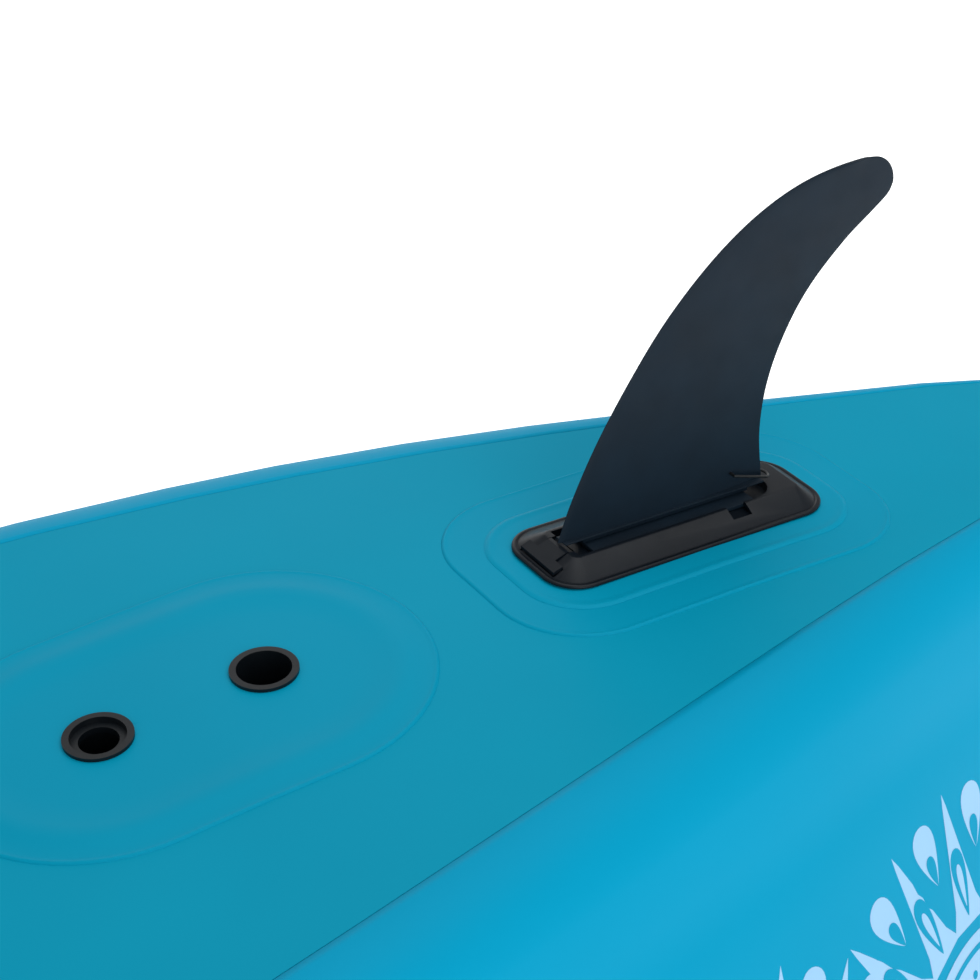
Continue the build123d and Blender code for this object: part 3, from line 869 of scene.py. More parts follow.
# ---------------------------------------------------------------- side walls
@dataclass
class SideWalls:
    """The two side chambers: hull side with its soft fold, gunwale and cockpit side."""

    hull: Hull
    skin: float = 2.0
    fold_depth: float = 3.0
    fold_at: float = 16.0
    fold_width: float = 16.0
    valve_x: float = 620.0
    valve_hole_r: float = 24.3

    def build(self) -> None:
        """Make both sides of both chambers, and the rub strip along the gunwale."""
        for side, tag in ((1, "port"), (-1, "starboard")):
            outer = self.skin_piece(self.outer_line(), side, f"hull_wall_{tag}")
            finish_piece(outer, Finishes.WALL, "hull", f"hull_side_{tag}")
            inner = self.skin_piece(self.inner_line(), side, f"cockpit_wall_{tag}")
            a = math.radians(self.hull.wall_angle)
            place = self.hull.wall_frame(self.valve_x, self.hull.wall(120, 2 * self.hull.wall_r),
                                         (-math.sin(a), -math.cos(a)), side)
            cut(inner, [cylinder("tool", place, self.valve_hole_r, -12, 12)])
            finish_piece(crease(inner, 50), Finishes.WALL, "hull", f"cockpit_side_{tag}")
            self.gunwale_tape(side, f"gunwale_tape_{tag}")

    def outer_line(self) -> list[Pair]:
        """Section of the hull side from the floor seam to under the gunwale.

        Returns:
            Its points.
        """
        hull = self.hull
        line = arc((0, -hull.chine_r), hull.chine_r, 90, 90 - hull.chine_end, 14)
        for n in range(16):
            s = hull.wall_length * n / 15
            fold = self.fold_depth * math.exp(-((s - self.fold_at) / self.fold_width) ** 2)
            line.append(hull.wall(s, fold))
        return line + arc(hull.gunwale(), hull.wall_r, 90 - hull.wall_angle, -89.2, 12)[1:]

    def inner_line(self) -> list[Pair]:
        """Section of the cockpit side from under the gunwale to the deck.

        Returns:
            Its points.
        """
        hull = self.hull
        line = arc(hull.gunwale(), hull.wall_r, -90.8, -90 - hull.wall_angle, 8)
        return line + [hull.wall(hull.wall_length - 178 * n / 8, 2 * hull.wall_r) for n in range(1, 9)]

    def skin_piece(self, line: Sequence[Pair], side: int, name: str) -> bpy.types.Object:
        """Skin a section line along the whole craft.

        Args:
            line: section points.
            side: 1 for port, -1 for starboard.
            name: the piece's name.

        Returns:
            The skin with its thickness.
        """
        ends = self.hull.stations
        rows = [[self.hull.point(x, out, height, side) for out, height in line]
                for x in self.hull.steps(ends[0], ends[-1])]
        piece = loft(name, rows)
        return thicken(piece, self.skin, -1.0 if self.faces_out(piece) else 1.0)

    def faces_out(self, piece: bpy.types.Object) -> bool:
        """Whether a sheet's normals point away from the air inside the chamber.

        Args:
            piece: the sheet.

        Returns:
            True if they point to the outside.
        """
        centre = self.hull.wall(self.hull.wall_length * 0.6, self.hull.wall_r)
        votes = 0.0
        for polygon in piece.data.polygons:
            if abs(polygon.center.x) < 0.5:
                side = 1 if polygon.center.y > 0 else -1
                air = self.hull.point(polygon.center.x / MM - self.hull.shift.x, *centre, side)
                votes += polygon.normal.dot(polygon.center - air)
        return votes > 0

    def gunwale_tape(self, side: int, name: str) -> None:
        """Weld a tape round the underside of the gunwale, over the joint of the two skins.

        Args:
            side: 1 for port, -1 for starboard.
            name: the piece's name.
        """
        hull = self.hull
        ends = hull.stations
        angles = [-90 - 26, -90 - 25, -90 - 12, -90, -90 + 12, -90 + 25, -90 + 26]
        lift = [0.1, 0.7, 0.8, 0.8, 0.8, 0.7, 0.1]
        line = [arc(hull.gunwale(), hull.wall_r + up, a, a + 1, 2)[0] for a, up in zip(angles, lift)]
        rows = [[hull.point(x, out, height, side) for out, height in line]
                for x in hull.steps(ends[0] + 12, ends[-1] - 12)]
        finish_piece(loft(name, rows), Finishes.PATCH, "hull")


# ---------------------------------------------------------------- patches on the underside
@dataclass
class Reinforcements:
    """Glued patches round the drains and under the fin box, with softened, slightly raised rims."""

    hull: Hull
    drain_size: Pair = (320.0, 214.0)
    fin_size: Triple = (300.0, 174.0, 62.0)
    pad_size: Triple = (252.0, 120.0, 44.0)
    thickness: float = 0.8
    pad: float = 1.0
    insets: tuple[float, ...] = (0, 0.6, 1.2, 1.8, 2.6, 3.6, 5, 7, 9, 11, 13, 15, 17, 20, 24, 30, 38, 48,
                                 60, 74)        # of a patch's rings, from its rim inwards

    def build(self) -> None:
        """Make the three patches."""
        middle = sum(self.hull.drains) / 2
        length, width = self.drain_size
        drain = self.patch("drain_patch_sheet", middle, (length, width, width / 2), 0.0, self.drain_profile)
        cut(drain, self.hull.drain_cutters(-20, 20))
        finish_piece(crease(drain, 60), Finishes.PATCH, "hull", "drain_patch")
        fin = self.patch("fin_patch_sheet", self.hull.box_x, self.fin_size, 0.0, self.rim_profile)
        finish_piece(crease(fin, 60), Finishes.PATCH, "hull", "fin_patch")
        pad = self.patch("fin_pad_sheet", self.hull.box_x, self.pad_size, self.thickness, self.pad_profile)
        finish_piece(crease(pad, 60), Finishes.PATCH, "hull", "fin_pad")

    def rim_profile(self, inset: float) -> float:
        """Height of the patch this far in from its edge: a rolled edge, then flat."""
        return self.thickness * min(1.0, inset / 1.5) + 0.4 * math.exp(-((inset - 1.8) / 1.3) ** 2)

    def pad_profile(self, inset: float) -> float:
        """Height of the pad: a broad soft shoulder over the layers below."""
        return self.pad * (1 - math.exp(-inset / 4)) + 0.8 * math.exp(-((inset - 3) / 2.6) ** 2)

    def drain_profile(self, inset: float) -> float:
        """Height of the drain patch: rolled edge and a soft ridge where the inner layer ends."""
        ridge = 1.6 * math.exp(-((inset - 24) / 10.0) ** 2)
        return self.rim_profile(inset) + ridge

    def patch(self, name: str, x: float, size: Triple, base: float,
              profile: Callable[[float], float]) -> bpy.types.Object:
        """Make a patch as rings of points that follow its rounded outline inwards.

        Args:
            name: the piece's name.
            x: its middle.
            size: length, width and corner radius.
            base: height of the layer under it.
            profile: height over the base for a distance in from the edge.

        Returns:
            The closed patch.
        """
        length, width, corner = size
        insets = [i for i in self.insets if i < width / 2 - 4] + [width / 2 - 2]
        upper = [self.ring(x, length, width, corner, i, base + profile(i)) for i in reversed(insets)]
        lower = [self.ring(x, length, width, corner, i, base - 0.1) for i in insets]
        return loft(name, upper + lower, round_rows=True, capped=True)

    def ring(self, x: float, length: float, width: float, corner: float, inset: float,
             height: float) -> list[Vector]:
        """One closed ring of the outline, inset from the edge.

        Args:
            x: middle of the patch.
            length: its length.
            width: its width.
            corner: its corner radius.
            inset: distance in from the edge.
            height: height over the floor's underside.

        Returns:
            The ring's points.
        """
        radius = max(corner - inset, 0.4)
        dx, dy = length / 2 - inset - radius, width / 2 - inset - radius
        points = []
        for quarter, (sx, sy) in enumerate(((1, 1), (-1, 1), (-1, -1), (1, -1))):
            for n in range(17):
                a = math.radians(90 * quarter + 90 * n / 16)
                points.append(self.hull.floor_point(x + sx * dx + radius * math.cos(a),
                                                    sy * max(dy, 0) + radius * math.sin(a), height))
            nxt = ((-1, 1), (-1, -1), (1, -1), (1, 1))[quarter]
            for n in range(1, 8):
                t = n / 8
                px = (1 - t) * sx * dx + t * nxt[0] * dx
                py = (1 - t) * sy * max(dy, 0) + t * nxt[1] * max(dy, 0)
                a = math.radians(90 * (quarter + 1))
                points.append(self.hull.floor_point(x + px + radius * math.cos(a), py + radius * math.sin(a),
                                                    height))
        return points


# ---------------------------------------------------------------- fin box
@dataclass
class FinBox:
    """The moulded box that the fin slides into: a thin rolled lip, sloping faces and a slotted roof."""

    hull: Hull
    size: Triple = (220.6, 78.0, 25.0)
    roof: Triple = (-89.0, 94.0, 18.5)
    top: float = 10.0
    trough: Triple = (-84.0, 60.5, 16.5)
    notch: Triple = (33.0, 48.5, 26.5)
    groove: Triple = (33.0, 66.0, 21.0)
    groove_top: float = 7.6
    floor: float = 4.6
    above: float = 30.0             # clear of the roof, for the tops of the cutters
    lip: tuple[Pair, ...] = ((0, -0.2), (0, 0.7), (0.3, 1.2), (0.9, 1.6), (1.7, 1.8), (2.6, 1.7), (3.1, 1.3),
                             (3.9, 1.2), (4.6, 1.9))        # inset and level of the rolled rim
    crown: tuple[Pair, ...] = ((1.4, 9.2), (0.7, 9.65), (0.0, 9.9))     # the roof's rounded edge
    tongue_slots: tuple[tuple[float, float, float, Pair], ...] = (
        (-105.5, -97.4, 19.2, (0.5, 2.6)), (-97.6, -84.0, 10.6, (2.6, 5.4)))

    def build(self) -> None:
        """Make the box, cut its slots and dress it."""
        place = self.hull.box_frame()
        length, width, corner = self.size
        rows = [self.ring(place, (i - length / 2, length / 2 - i, width / 2 - i, corner - i), z)
                for i, z in self.lip]
        x0, x1, half = self.roof
        for grow, z in self.crown + ((-0.9, self.top),):
            rows.append(self.ring(place, (x0 - grow, x1 + grow, half + grow, 4.5 + grow), z))
        box = loft("fin_box_moulding", rows, round_rows=True, capped=True)
        middle = place @ Matrix.Translation((self.trough[1] * MM, 0, 0))
        # the cutters' floors differ a little, because faces that coincide would spoil the cut
        tools = [self.prism(place, *self.trough, (self.floor, self.floor), self.above),
                 cylinder("tool", middle, self.trough[2], self.floor, self.above),
                 self.prism(place, *self.notch, (self.floor - 0.1, self.floor - 0.1), self.above + 1),
                 self.prism(place, *self.groove, (self.floor + 0.15, self.floor + 0.15), self.groove_top)]
        tools += [self.prism(place, *slot, self.above) for slot in self.tongue_slots]
        finish_piece(crease(cut(box, tools), 32), Finishes.BLACK, "hull", "fin_box")

    def ring(self, place: Matrix, plan: tuple[float, float, float, float], z: float) -> list[Vector]:
        """A rounded rectangle at a level.

        Args:
            place: the box's frame.
            plan: its two ends, half its width and its corner radius.
            z: its level.

        Returns:
            Its points.
        """
        x0, x1, half, radius = plan
        corners = ((x1 - radius, half - radius), (x0 + radius, half - radius),
                   (x0 + radius, radius - half), (x1 - radius, radius - half))
        return [place @ (Vector((*point, z)) * MM) for n, centre in enumerate(corners)
                for point in arc(centre, radius, 90 * n, 90 * n + 90, 13)]

    @staticmethod
    def prism(place: Matrix, x0: float, x1: float, half: float, low: Pair, high: float) -> bpy.types.Object:
        """A throwaway block for a slot, whose bottom may slope along the box.

        Args:
            place: the box's frame.
            x0: its first end.
            x1: its other end.
            half: half its width.
            low: level of its bottom at each end.
            high: level of its top.

        Returns:
            The block.
        """
        side = ((x0, low[0]), (x1, low[1]), (x1, high), (x0, high))
        rows = [[place @ (Vector((x, y, z)) * MM) for x, z in side] for y in (-half, half)]
        return loft("tool", rows, round_rows=True, capped=True)


# ---------------------------------------------------------------- fin
@dataclass
class Fin:
    """The slide-in fin: a swept foil on a flat rail with two wings."""

    hull: Hull
    root: float = 12.0
    tip: float = 230.6
    root_t: float = 8.0
    tip_t: float = 3.0
    lead: tuple[Pair, ...] = ((12, -89.5), (38, -81.2), (76, -64.2), (115, -41.6), (154, -14), (189, 20.7))
    sweep: Triple = (154.0, 21.63, 0.4417)
    tip_x: float = 133.0
    trail: tuple[Pair, ...] = ((12, 76), (50, 70.4), (85, 72.7), (118, 83), (148, 100), (176, 126.5),
                               (194, 150), (202, 159.5), (209, 162.6))
    corner: Triple = (141.0, 209.0, 21.6)

    def build(self) -> None:
        """Make the blade and its rail as one moulding, and dress it."""
        place = self.hull.box_frame()
        levels = [self.root + (self.tip - self.root) * (1 - (1 - n / 71) ** 2.0) for n in range(72)]
        rows = [self.section(place, level) for level in levels]
        blade = loft("fin_blade", rows, round_rows=True, capped=True)
        parts = [blade, self.block(place, (-72, 62), 3.4, (8, self.root + 0.6)),
                 self.block(place, (-71, 59), 15.8, (5.2, 8)), self.block(place, (50, 58), 20.4, (5.2, 7.2)),
                 self.block(place, (-87, 74), 5.6, (self.root - 0.2, self.root + 1.0))]
        with bpy.context.temp_override(active_object=blade, object=blade, selected_editable_objects=parts,
                                       selected_objects=parts):
            bpy.ops.object.join()
        finish_piece(crease(blade, 40), Finishes.FIN, "fin", "fin")

    def leading_edge(self, level: float) -> float:
        """Place of the leading edge: a curve, then a power of the distance under the tip."""
        start, reach, power = self.sweep
        return cubic(self.lead, level) if level <= start else self.tip_x - reach * (self.tip - level) ** power

    def trailing_edge(self, level: float) -> float:
        """Place of the trailing edge: a curve, then the round corner of the tip."""
        x, base, radius = self.corner
        return cubic(self.trail, level) if level <= base else x + math.sqrt(radius ** 2 - (level - base) ** 2)

    def section(self, place: Matrix, level: float) -> list[Vector]:
        """Closed foil section at a level.

        Args:
            place: the fin box's frame.
            level: height over the box's seat.

        Returns:
            The section's points.
        """
        front, back = self.leading_edge(level), self.trailing_edge(level)
        full = self.root_t + (self.tip_t - self.root_t) * (level - self.root) / (self.tip - self.root)
        chord = [(1 - math.cos(math.pi * n / 20)) / 2 for n in range(21)]
        half = [(front + u * (back - front), full / 2 * self.form(u)) for u in chord]
        loop = half + [(x, -y) for x, y in half[-2:0:-1]]
        return [place @ (Vector((x, y, level)) * MM) for x, y in loop]

    @staticmethod
    def form(u: float) -> float:
        """Thickness share of the foil at a share of its chord."""
        return max(0.02, 2.6 * math.sqrt(max(u, 0)) * (1 - u) ** 0.9 * (1 + 0.25 * u)) * 0.92

    @staticmethod
    def block(place: Matrix, along: Pair, half: float, levels: Pair) -> bpy.types.Object:
        """A bevelled block of the rail.

        Args:
            place: the fin box's frame.
            along: its two ends.
            half: half its width.
            levels: its lower and upper face.

        Returns:
            The block.
        """
        corners = [(along[0], -half), (along[1], -half), (along[1], half), (along[0], half)]
        rows = [[place @ (Vector((x, y, z)) * MM) for x, y in corners] for z in levels]
        return bevel(loft("fin_rail", rows, round_rows=True, capped=True), 0.4)


# ---------------------------------------------------------------- deck pads
@dataclass
class DeckPads:
    """Grooved foam pads on the standing side of the floor."""

    hull: Hull
    spans: dict[str, Pair] = field(
        default_factory=lambda: {"deck_pad_front": (-1020, -30), "deck_pad_rear": (30, 760)})
    thickness: float = 6.0
    inset: float = 38.0
    widest: float = 205.0
    corner: float = 60.0
    groove_pitch: float = 24.0
    groove: float = 1.6

    def build(self) -> None:
        """Make each pad with its long grooves and rounded corners."""
        for node, (low, high) in self.spans.items():
            piece = self.pad(f"{node}_foam", low, high)
            finish_piece(crease(piece, 40), Finishes.FOAM, "hull", node)

    def half_width(self, x: float, low: float, high: float) -> float:
        """Half the pad's width at a station, with its corners rounded off.

        Args:
            x: the station.
            low: the pad's bow end.
            high: its stern end.

        Returns:
            Half the width.
        """
        half = min(self.hull.half_width(x) - self.inset, self.widest)
        near = min(x - low, high - x)
        if near < self.corner:
            return half - self.corner + math.sqrt(max(0.0, self.corner ** 2 - (self.corner - near) ** 2))
        return half

    def pad(self, name: str, low: float, high: float) -> bpy.types.Object:
        """Make a pad as a closed solid whose outer face is grooved.

        Args:
            name: the piece's name.
            low: its bow end.
            high: its stern end.

        Returns:
            The pad.
        """
        top = -self.hull.floor_thickness - 0.05
        count = 150
        rows = []
        for n in range(count + 1):
            t = n / count
            x = low + (high - low) * (t - 0.4 * math.sin(2 * math.pi * t) / (2 * math.pi))
            half = self.half_width(x, low, high)
            across = [half * (2 * k / 120 - 1) for k in range(121)]
            face = []
            for y in across:
                edge = min(half - abs(y), x - low, high - x)
                round_off = 2.2 * math.exp(-edge / 1.6)
                line = self.groove * math.exp(-((((abs(y) / self.groove_pitch) % 1) - 0.5) * 14) ** 2)
                rim = 0.0 if edge < 14 else line
                face.append(self.hull.floor_point(x, y, top - self.thickness + 0.05 + round_off + rim))
            back = [self.hull.floor_point(x, y, top) for y in reversed(across)]
            rows.append(face + back)
        return loft(name, rows, round_rows=True, capped=True)


# ---------------------------------------------------------------- straps, grips, stitches
@dataclass
class Stitching:
    """Rows of thread laid on a face."""

    length: float = 3.2
    gap: float = 1.6
    thread: float = 0.5

    def rows(self, name: str, place: Matrix,
             paths: Sequence[Sequence[Triple]]) -> bpy.types.Object:
        """Sew stitches along straight paths of a frame.

        Args:
            name: the piece's name.
            place: the frame the paths are drawn on.
            paths: polylines in millimetres.

        Returns:
            All stitches as one object.
        """
        points, faces = [], []
        for path in paths:
            for a, b in zip(path, path[1:]):
                start, end = Vector(a), Vector(b)
                run = (end - start).length
                count = int(run / (self.length + self.gap))
                way = (end - start).normalized()
                aside = way.cross(Vector((0, 0, 1))).normalized()
                for n in range(count):
                    middle = start + way * (run * (n + 0.5) / count)
                    self.stitch(points, faces, place, middle, way, aside)
        return new_object(name, points, faces)

    def stitch(self, points: list[Vector], faces: list[Face], place: Matrix, middle: Vector,
               way: Vector, aside: Vector) -> None:
        """Add one stitch: a short thread that dives at both ends.

        Args:
            points: vertices so far.
            faces: faces so far.
            place: frame of the face.
            middle: the stitch's middle.
            way: its direction.
            aside: square to it in the face.
        """
        base = len(points)
        shape = ((-0.5, 0.35, 0.0), (-0.3, 0.9, 0.8), (0.3, 0.9, 0.8), (0.5, 0.35, 0.0))
        for share, wide, high in shape:
            for turn in range(6):
                a = math.pi * turn / 5
                p = (middle + way * (self.length * share) + aside * (self.thread * wide * math.cos(a))
                     + Vector((0, 0, self.thread * (high * math.sin(a) + 0.1))))
                points.append(place @ (p * MM))
        for i in range(3):
            for j in range(5):
                k = base + i * 6 + j
                faces.append((k, k + 1, k + 7, k + 6))


@dataclass
class CarryHandles:
    """Webbing handles with padded sleeves at the bow, the stern and on both sides."""

    hull: Hull
    deck: dict[str, float] = field(default_factory=lambda: {"bow_handle": -1400.0, "stern_handle": 1390.0})
    side_x: float = 60.0
    side_at: float = 118.0
    clear: float = 0.6
    rise: float = 28.0
    half: float = 118.0
    web: float = 2.0
    width: float = 38.0
    patch: float = 0.8
    stitches: Stitching = field(default_factory=Stitching)

    def build(self) -> None:
        """Make the four handles."""
        deck = -self.hull.floor_thickness - self.clear
        for name, x in self.deck.items():
            self.handle(name, lambda s, x=x: self.hull.floor_frame(x + s, deck, -1))
        a = math.radians(self.hull.wall_angle)
        face = self.hull.wall(self.side_at, -self.clear)
        for side, tag in ((1, "port"), (-1, "starboard")):
            self.handle(f"side_handle_{tag}", lambda s, side=side: self.hull.wall_frame(
                self.side_x + s, face, (math.sin(a), math.cos(a)), side))

    def handle(self, name: str, frame_at: Callable[[float], Matrix]) -> None:
        """Make one strap, its sleeve and its stitches.

        Args:
            name: the handle's name.
            frame_at: frame on the skin at a distance along the handle.
        """
        middle = frame_at(0)
        into = middle.inverted()

        def skin(s: float) -> float:
            """Height of the patch under the strap."""
            return (into @ frame_at(s).translation).z / MM + self.patch + 0.2
        line = [(-self.half, skin(-self.half)), (-self.half + 30, skin(-self.half + 30)),
                (-self.half + 37, skin(-self.half + 37) + 0.8), (-70, self.rise - 5), (-60, self.rise - 0.6),
                (-50, self.rise)]
        line += [(x * 10, self.rise) for x in range(-4, 5)] + [(-x, z) for x, z in reversed(line)]
        rows = []
        for x, z in line:
            edge = self.width / 2
            lower = [(x, y, z) for y in (-edge, -edge + 1, 0, edge - 1, edge)]
            upper = [(x, y, z + self.web) for _, y, _ in reversed(lower)]
            rows.append([middle @ (Vector(p) * MM) for p in lower + upper])
        strap = crease(loft(f"{name}_webbing", rows, round_rows=True, capped=True), 45)
        finish_piece(strap, Finishes.WEB, "hull", f"{name}_strap")
        self.sleeve(name, middle)
        paths = []
        for end in (-1, 1):
            near, far = self.half - 29, self.half - 4
            top = skin(end * far) + self.web, skin(end * near) + self.web
            w = self.width / 2 - 4
            box = [(end * far, -w, top[0]), (end * near, -w, top[1]), (end * near, w, top[1]),
                   (end * far, w, top[0]), (end * far, -w, top[0]), (end * near, w, top[1])]
            paths += [box, [(end * near, -w, top[1]), (end * far, w, top[0])]]
        finish_piece(self.stitches.rows(f"{name}_stitches", middle, paths), Finishes.THREAD, "hull")

    def sleeve(self, name: str, place: Matrix) -> None:
        """Make the padded sleeve: crowned, gathered at its ends, with a sewn seam along one side.

        Args:
            name: the handle's name.
            place: the handle's frame.
        """
        rows = []
        count = 28
        for n in range(count + 1):
            t = 2 * n / count - 1
            pull = 1 - 0.16 * abs(t) ** 8 - 0.03 * math.cos(5 * math.pi * t) * (1 - abs(t))
            ring = []
            for k in range(32):
                a = 2 * math.pi * k / 32
                c, s = math.cos(a), math.sin(a)
                y = 22.6 * math.copysign(abs(c) ** 0.75, c) * (0.98 + 0.02 * pull)
                z = 7.7 * pull * math.copysign(abs(s) ** 0.8, s) * (1 - 0.05 * math.exp(-(y / 2.2) ** 2))
                ring.append(place @ (Vector((53.5 * t, y, self.rise + self.web / 2 + z)) * MM))
            rows.append(ring)
        piece = crease(loft(f"{name}_sleeve", rows, round_rows=True, capped=True), 60)
        finish_piece(piece, Finishes.GRIP, "hull", f"{name}_grip")


# ---------------------------------------------------------------- printed pattern
@dataclass
class PrintedPattern:
    """Pale leaf pattern, screen printed low on both side walls at the bow and the stern."""

    hull: Hull
    lift: float = 0.12
    start: float = 46.0             # how far past the flat wall the rosettes' centres lie
    rosettes: tuple[Pair, ...] = ((830, 0.86), (1060, 1.0), (1300, 1.02), (1510, 0.84), (1670, 0.6))
    wedge: tuple[Pair, ...] = ((-38, 106), (38, 106), (25, 122), (4, 190), (0, 199), (-4, 190), (-25, 122))

    def build(self) -> None:
        """Print each end of each side."""
        for side, tag in ((1, "port"), (-1, "starboard")):
            for direction, end in ((1, "stern"), (-1, "bow")):
                self.print_end(side, direction, f"{end}_{tag}")

    def on_wall(self, x: float, s: float, side: int, lift: float) -> Vector:
        """A point of the print.

        Args:
            x: how far along the craft.
            s: how far down the wall.
            side: 1 for port, -1 for starboard.
            lift: height over the skin.

        Returns:
            The point in metres.
        """
        hull = self.hull
        if s <= hull.wall_length:
            return hull.point(x, *hull.wall(s, -lift), side)
        turn = 90 - hull.wall_angle - math.degrees((s - hull.wall_length) / hull.wall_r)
        return hull.point(x, *arc(hull.gunwale(), hull.wall_r + lift, turn, turn, 2)[0], side)

    def blob(self, outline: Sequence[Pair], side: int, lift: float, points: list[Vector],
             faces: list[Face]) -> None:
        """Add a star-shaped patch of ink as a fan of rings round its middle.

        Args:
            outline: its outline on the unrolled wall.
            side: 1 for port, -1 for starboard.
            lift: height over the skin.
            points: vertices so far.
            faces: faces so far.
        """
        cx = sum(p[0] for p in outline) / len(outline)
        cs = sum(p[1] for p in outline) / len(outline)
        base = len(points)
        count = len(outline)
        rings = 6
        points.append(self.on_wall(cx, cs, side, lift))
        for r in range(1, rings + 1):
            t = r / rings
            points += [self.on_wall(cx + (x - cx) * t, cs + (s - cs) * t, side, lift) for x, s in outline]
        faces += [(base, base + 1 + j, base + 1 + (j + 1) % count) for j in range(count)]
        for r in range(rings - 1):
            a, b = base + 1 + r * count, base + 1 + (r + 1) * count
            faces += [(a + j, a + (j + 1) % count, b + (j + 1) % count, b + j) for j in range(count)]

    @staticmethod
    def leaf(x: float, s: float, length: float, width: float, degrees: float) -> list[Pair]:
        """Outline of a pointed leaf that grows from (x, s) in a direction.

        Args:
            x: where its stalk starts along the craft.
            s: where its stalk starts down the wall.
            length: its length.
            width: its width.
            degrees: its direction.

        Returns:
            The outline.
        """
        a = math.radians(degrees)
        c, d = math.cos(a), math.sin(a)
        line = []
        for n in range(32):
            t = 2 * math.pi * n / 32
            along = length * (1 - math.cos(t)) / 2
            across = width / 2 * math.sin(t) * (1 - 0.45 * math.cos(t)) * (abs(math.sin(t / 2)) ** 0.35)
            line.append((x + along * c - across * d, s + along * d + across * c))
        return line

    def band(self, centre: Pair, radii: Pair, side: int, lift: float, points: list[Vector],
             faces: list[Face]) -> None:
        """Add a half ring of ink that opens towards the gunwale.

        Args:
            centre: its centre on the unrolled wall.
            radii: inner and outer radius.
            side: 1 for port, -1 for starboard.
            lift: height over the skin.
            points: vertices so far.
            faces: faces so far.
        """
        base, count, across = len(points), 60, 4
        for n in range(count + 1):
            a = math.pi + math.pi * n / count
            for k in range(across + 1):
                r = radii[0] + (radii[1] - radii[0]) * k / across
                x, s = centre[0] + r * math.cos(a), centre[1] + r * math.sin(a)
                points.append(self.on_wall(x, s, side, lift))
        for n in range(count):
            for k in range(across):
                q = base + n * (across + 1) + k
                faces.append((q, q + 1, q + across + 2, q + across + 1))

    def print_end(self, side: int, direction: int, tag: str) -> None:
        """Print one end: half rosettes of pale leaves with teal drops, rings and dots over them.

        Args:
            side: 1 for port, -1 for starboard.
            direction: 1 towards the stern, -1 towards the bow.
            tag: name of the end.
        """
        inks: list[tuple[list[Vector], list[Face]]] = [([], []), ([], []), ([], [])]
        pale, teal, top = inks
        low = self.hull.wall_length + self.start
        for x, size in self.rosettes:
            centre = (direction * x, low)
            for k in range(7):
                turn = -144 + 18 * k
                a = math.radians(turn)
                way = Vector((math.cos(a), math.sin(a)))

                def petal(start: float, length: float, width: float) -> list[Pair]:
                    """A leaf of the rosette, from its distance out, length and width."""
                    foot = Vector(centre) + way * start * size
                    return self.leaf(foot.x, foot.y, length * size, width * size, turn)
                outline = [(centre[0] + size * (r * way.x - across * way.y / 2),
                            low + size * (r * way.y + across * way.x / 2)) for across, r in self.wedge]
                self.blob(outline, side, self.lift, *pale)
                self.blob(petal(112, 48, 15), side, self.lift * 2, *teal)
                self.blob(petal(119, 30, 6), side, self.lift * 3, *top)
                if k < 6:
                    between = math.radians(turn + 9)
                    foot = Vector(centre) + Vector((math.cos(between), math.sin(between))) * 150 * size
                    for long, wide, lift, ink in ((44, 22, self.lift, pale), (22, 9, self.lift * 2, teal)):
                        drop = self.leaf(foot.x, foot.y, long * size, wide * size, turn + 9)
                        self.blob(drop, side, lift, *ink)
            self.band(centre, (0.5, 98 * size), side, self.lift * 1.5, *pale)
            for inner, outer in ((86, 90), (58, 62)):
                self.band(centre, (inner * size, outer * size), side, self.lift * 2.4, *teal)
            for k in range(22):
                a = math.radians(-176 + 8 * k)
                dot = [(centre[0] + 74 * size * math.cos(a) + 2.9 * math.cos(t),
                        low + 74 * size * math.sin(a) + 2.9 * math.sin(t))
                       for t in (2 * math.pi * m / 12 for m in range(12))]
                self.blob(dot, side, self.lift * 2.4, *teal)
            for k in range(7):
                turn = -165 + 25 * k
                self.blob(self.leaf(centre[0], low, 52 * size, 15 * size, turn), side, self.lift * 2.4, *teal)
        looks = (("pale", Finishes.INK), ("teal", Finishes.WALL), ("fine", Finishes.INK))
        for ink, (word, finish) in zip(inks, looks):
            finish_piece(new_object(f"print_{word}_{tag}", *ink), finish, "hull")


# ---------------------------------------------------------------- parts carried over from the CAD
@dataclass
class Fittings:
    """Hard parts whose shape is right already: they only get their finish."""

    finishes: dict[str, Finishes] = field(default_factory=lambda: {
        "fin_box": Finishes.BLACK, "fin_latch": Finishes.BLACK, "fin_pull_loop": Finishes.CORD,
        "drain_collar": Finishes.DRAIN, "drain_tube": Finishes.DRAIN, "drain_seat": Finishes.DRAIN,
        "drain_plug": Finishes.GREY, "_ring": Finishes.WIRE, "ring_webbing": Finishes.WEB,
        "ring_patches": Finishes.PATCH, "handle_patches": Finishes.PATCH, "_cap": Finishes.BLACK,
        "valve": Finishes.GREY, "floor_edge": Finishes.PANEL})

    def build(self, nodes: dict[str, bpy.types.Object]) -> None:
        """Dress every CAD node that still shows.

        Args:
            nodes: the CAD nodes by name.
        """
        for name, node in nodes.items():
            finish = self.pick(name)
            node.data.materials.clear()
            node.data.materials.append(finish.value.material())
            LOG.info("%s is %s", name, finish.value.name)

    def pick(self, name: str) -> Finishes:
        """The finish of a node, by the first word of the list that its name holds.

        Args:
            name: the node's name.

        Returns:
            Its finish, or the panel's where no word fits.
        """
        for word, finish in self.finishes.items():
            if word in name:
                return finish
        return Finishes.PANEL


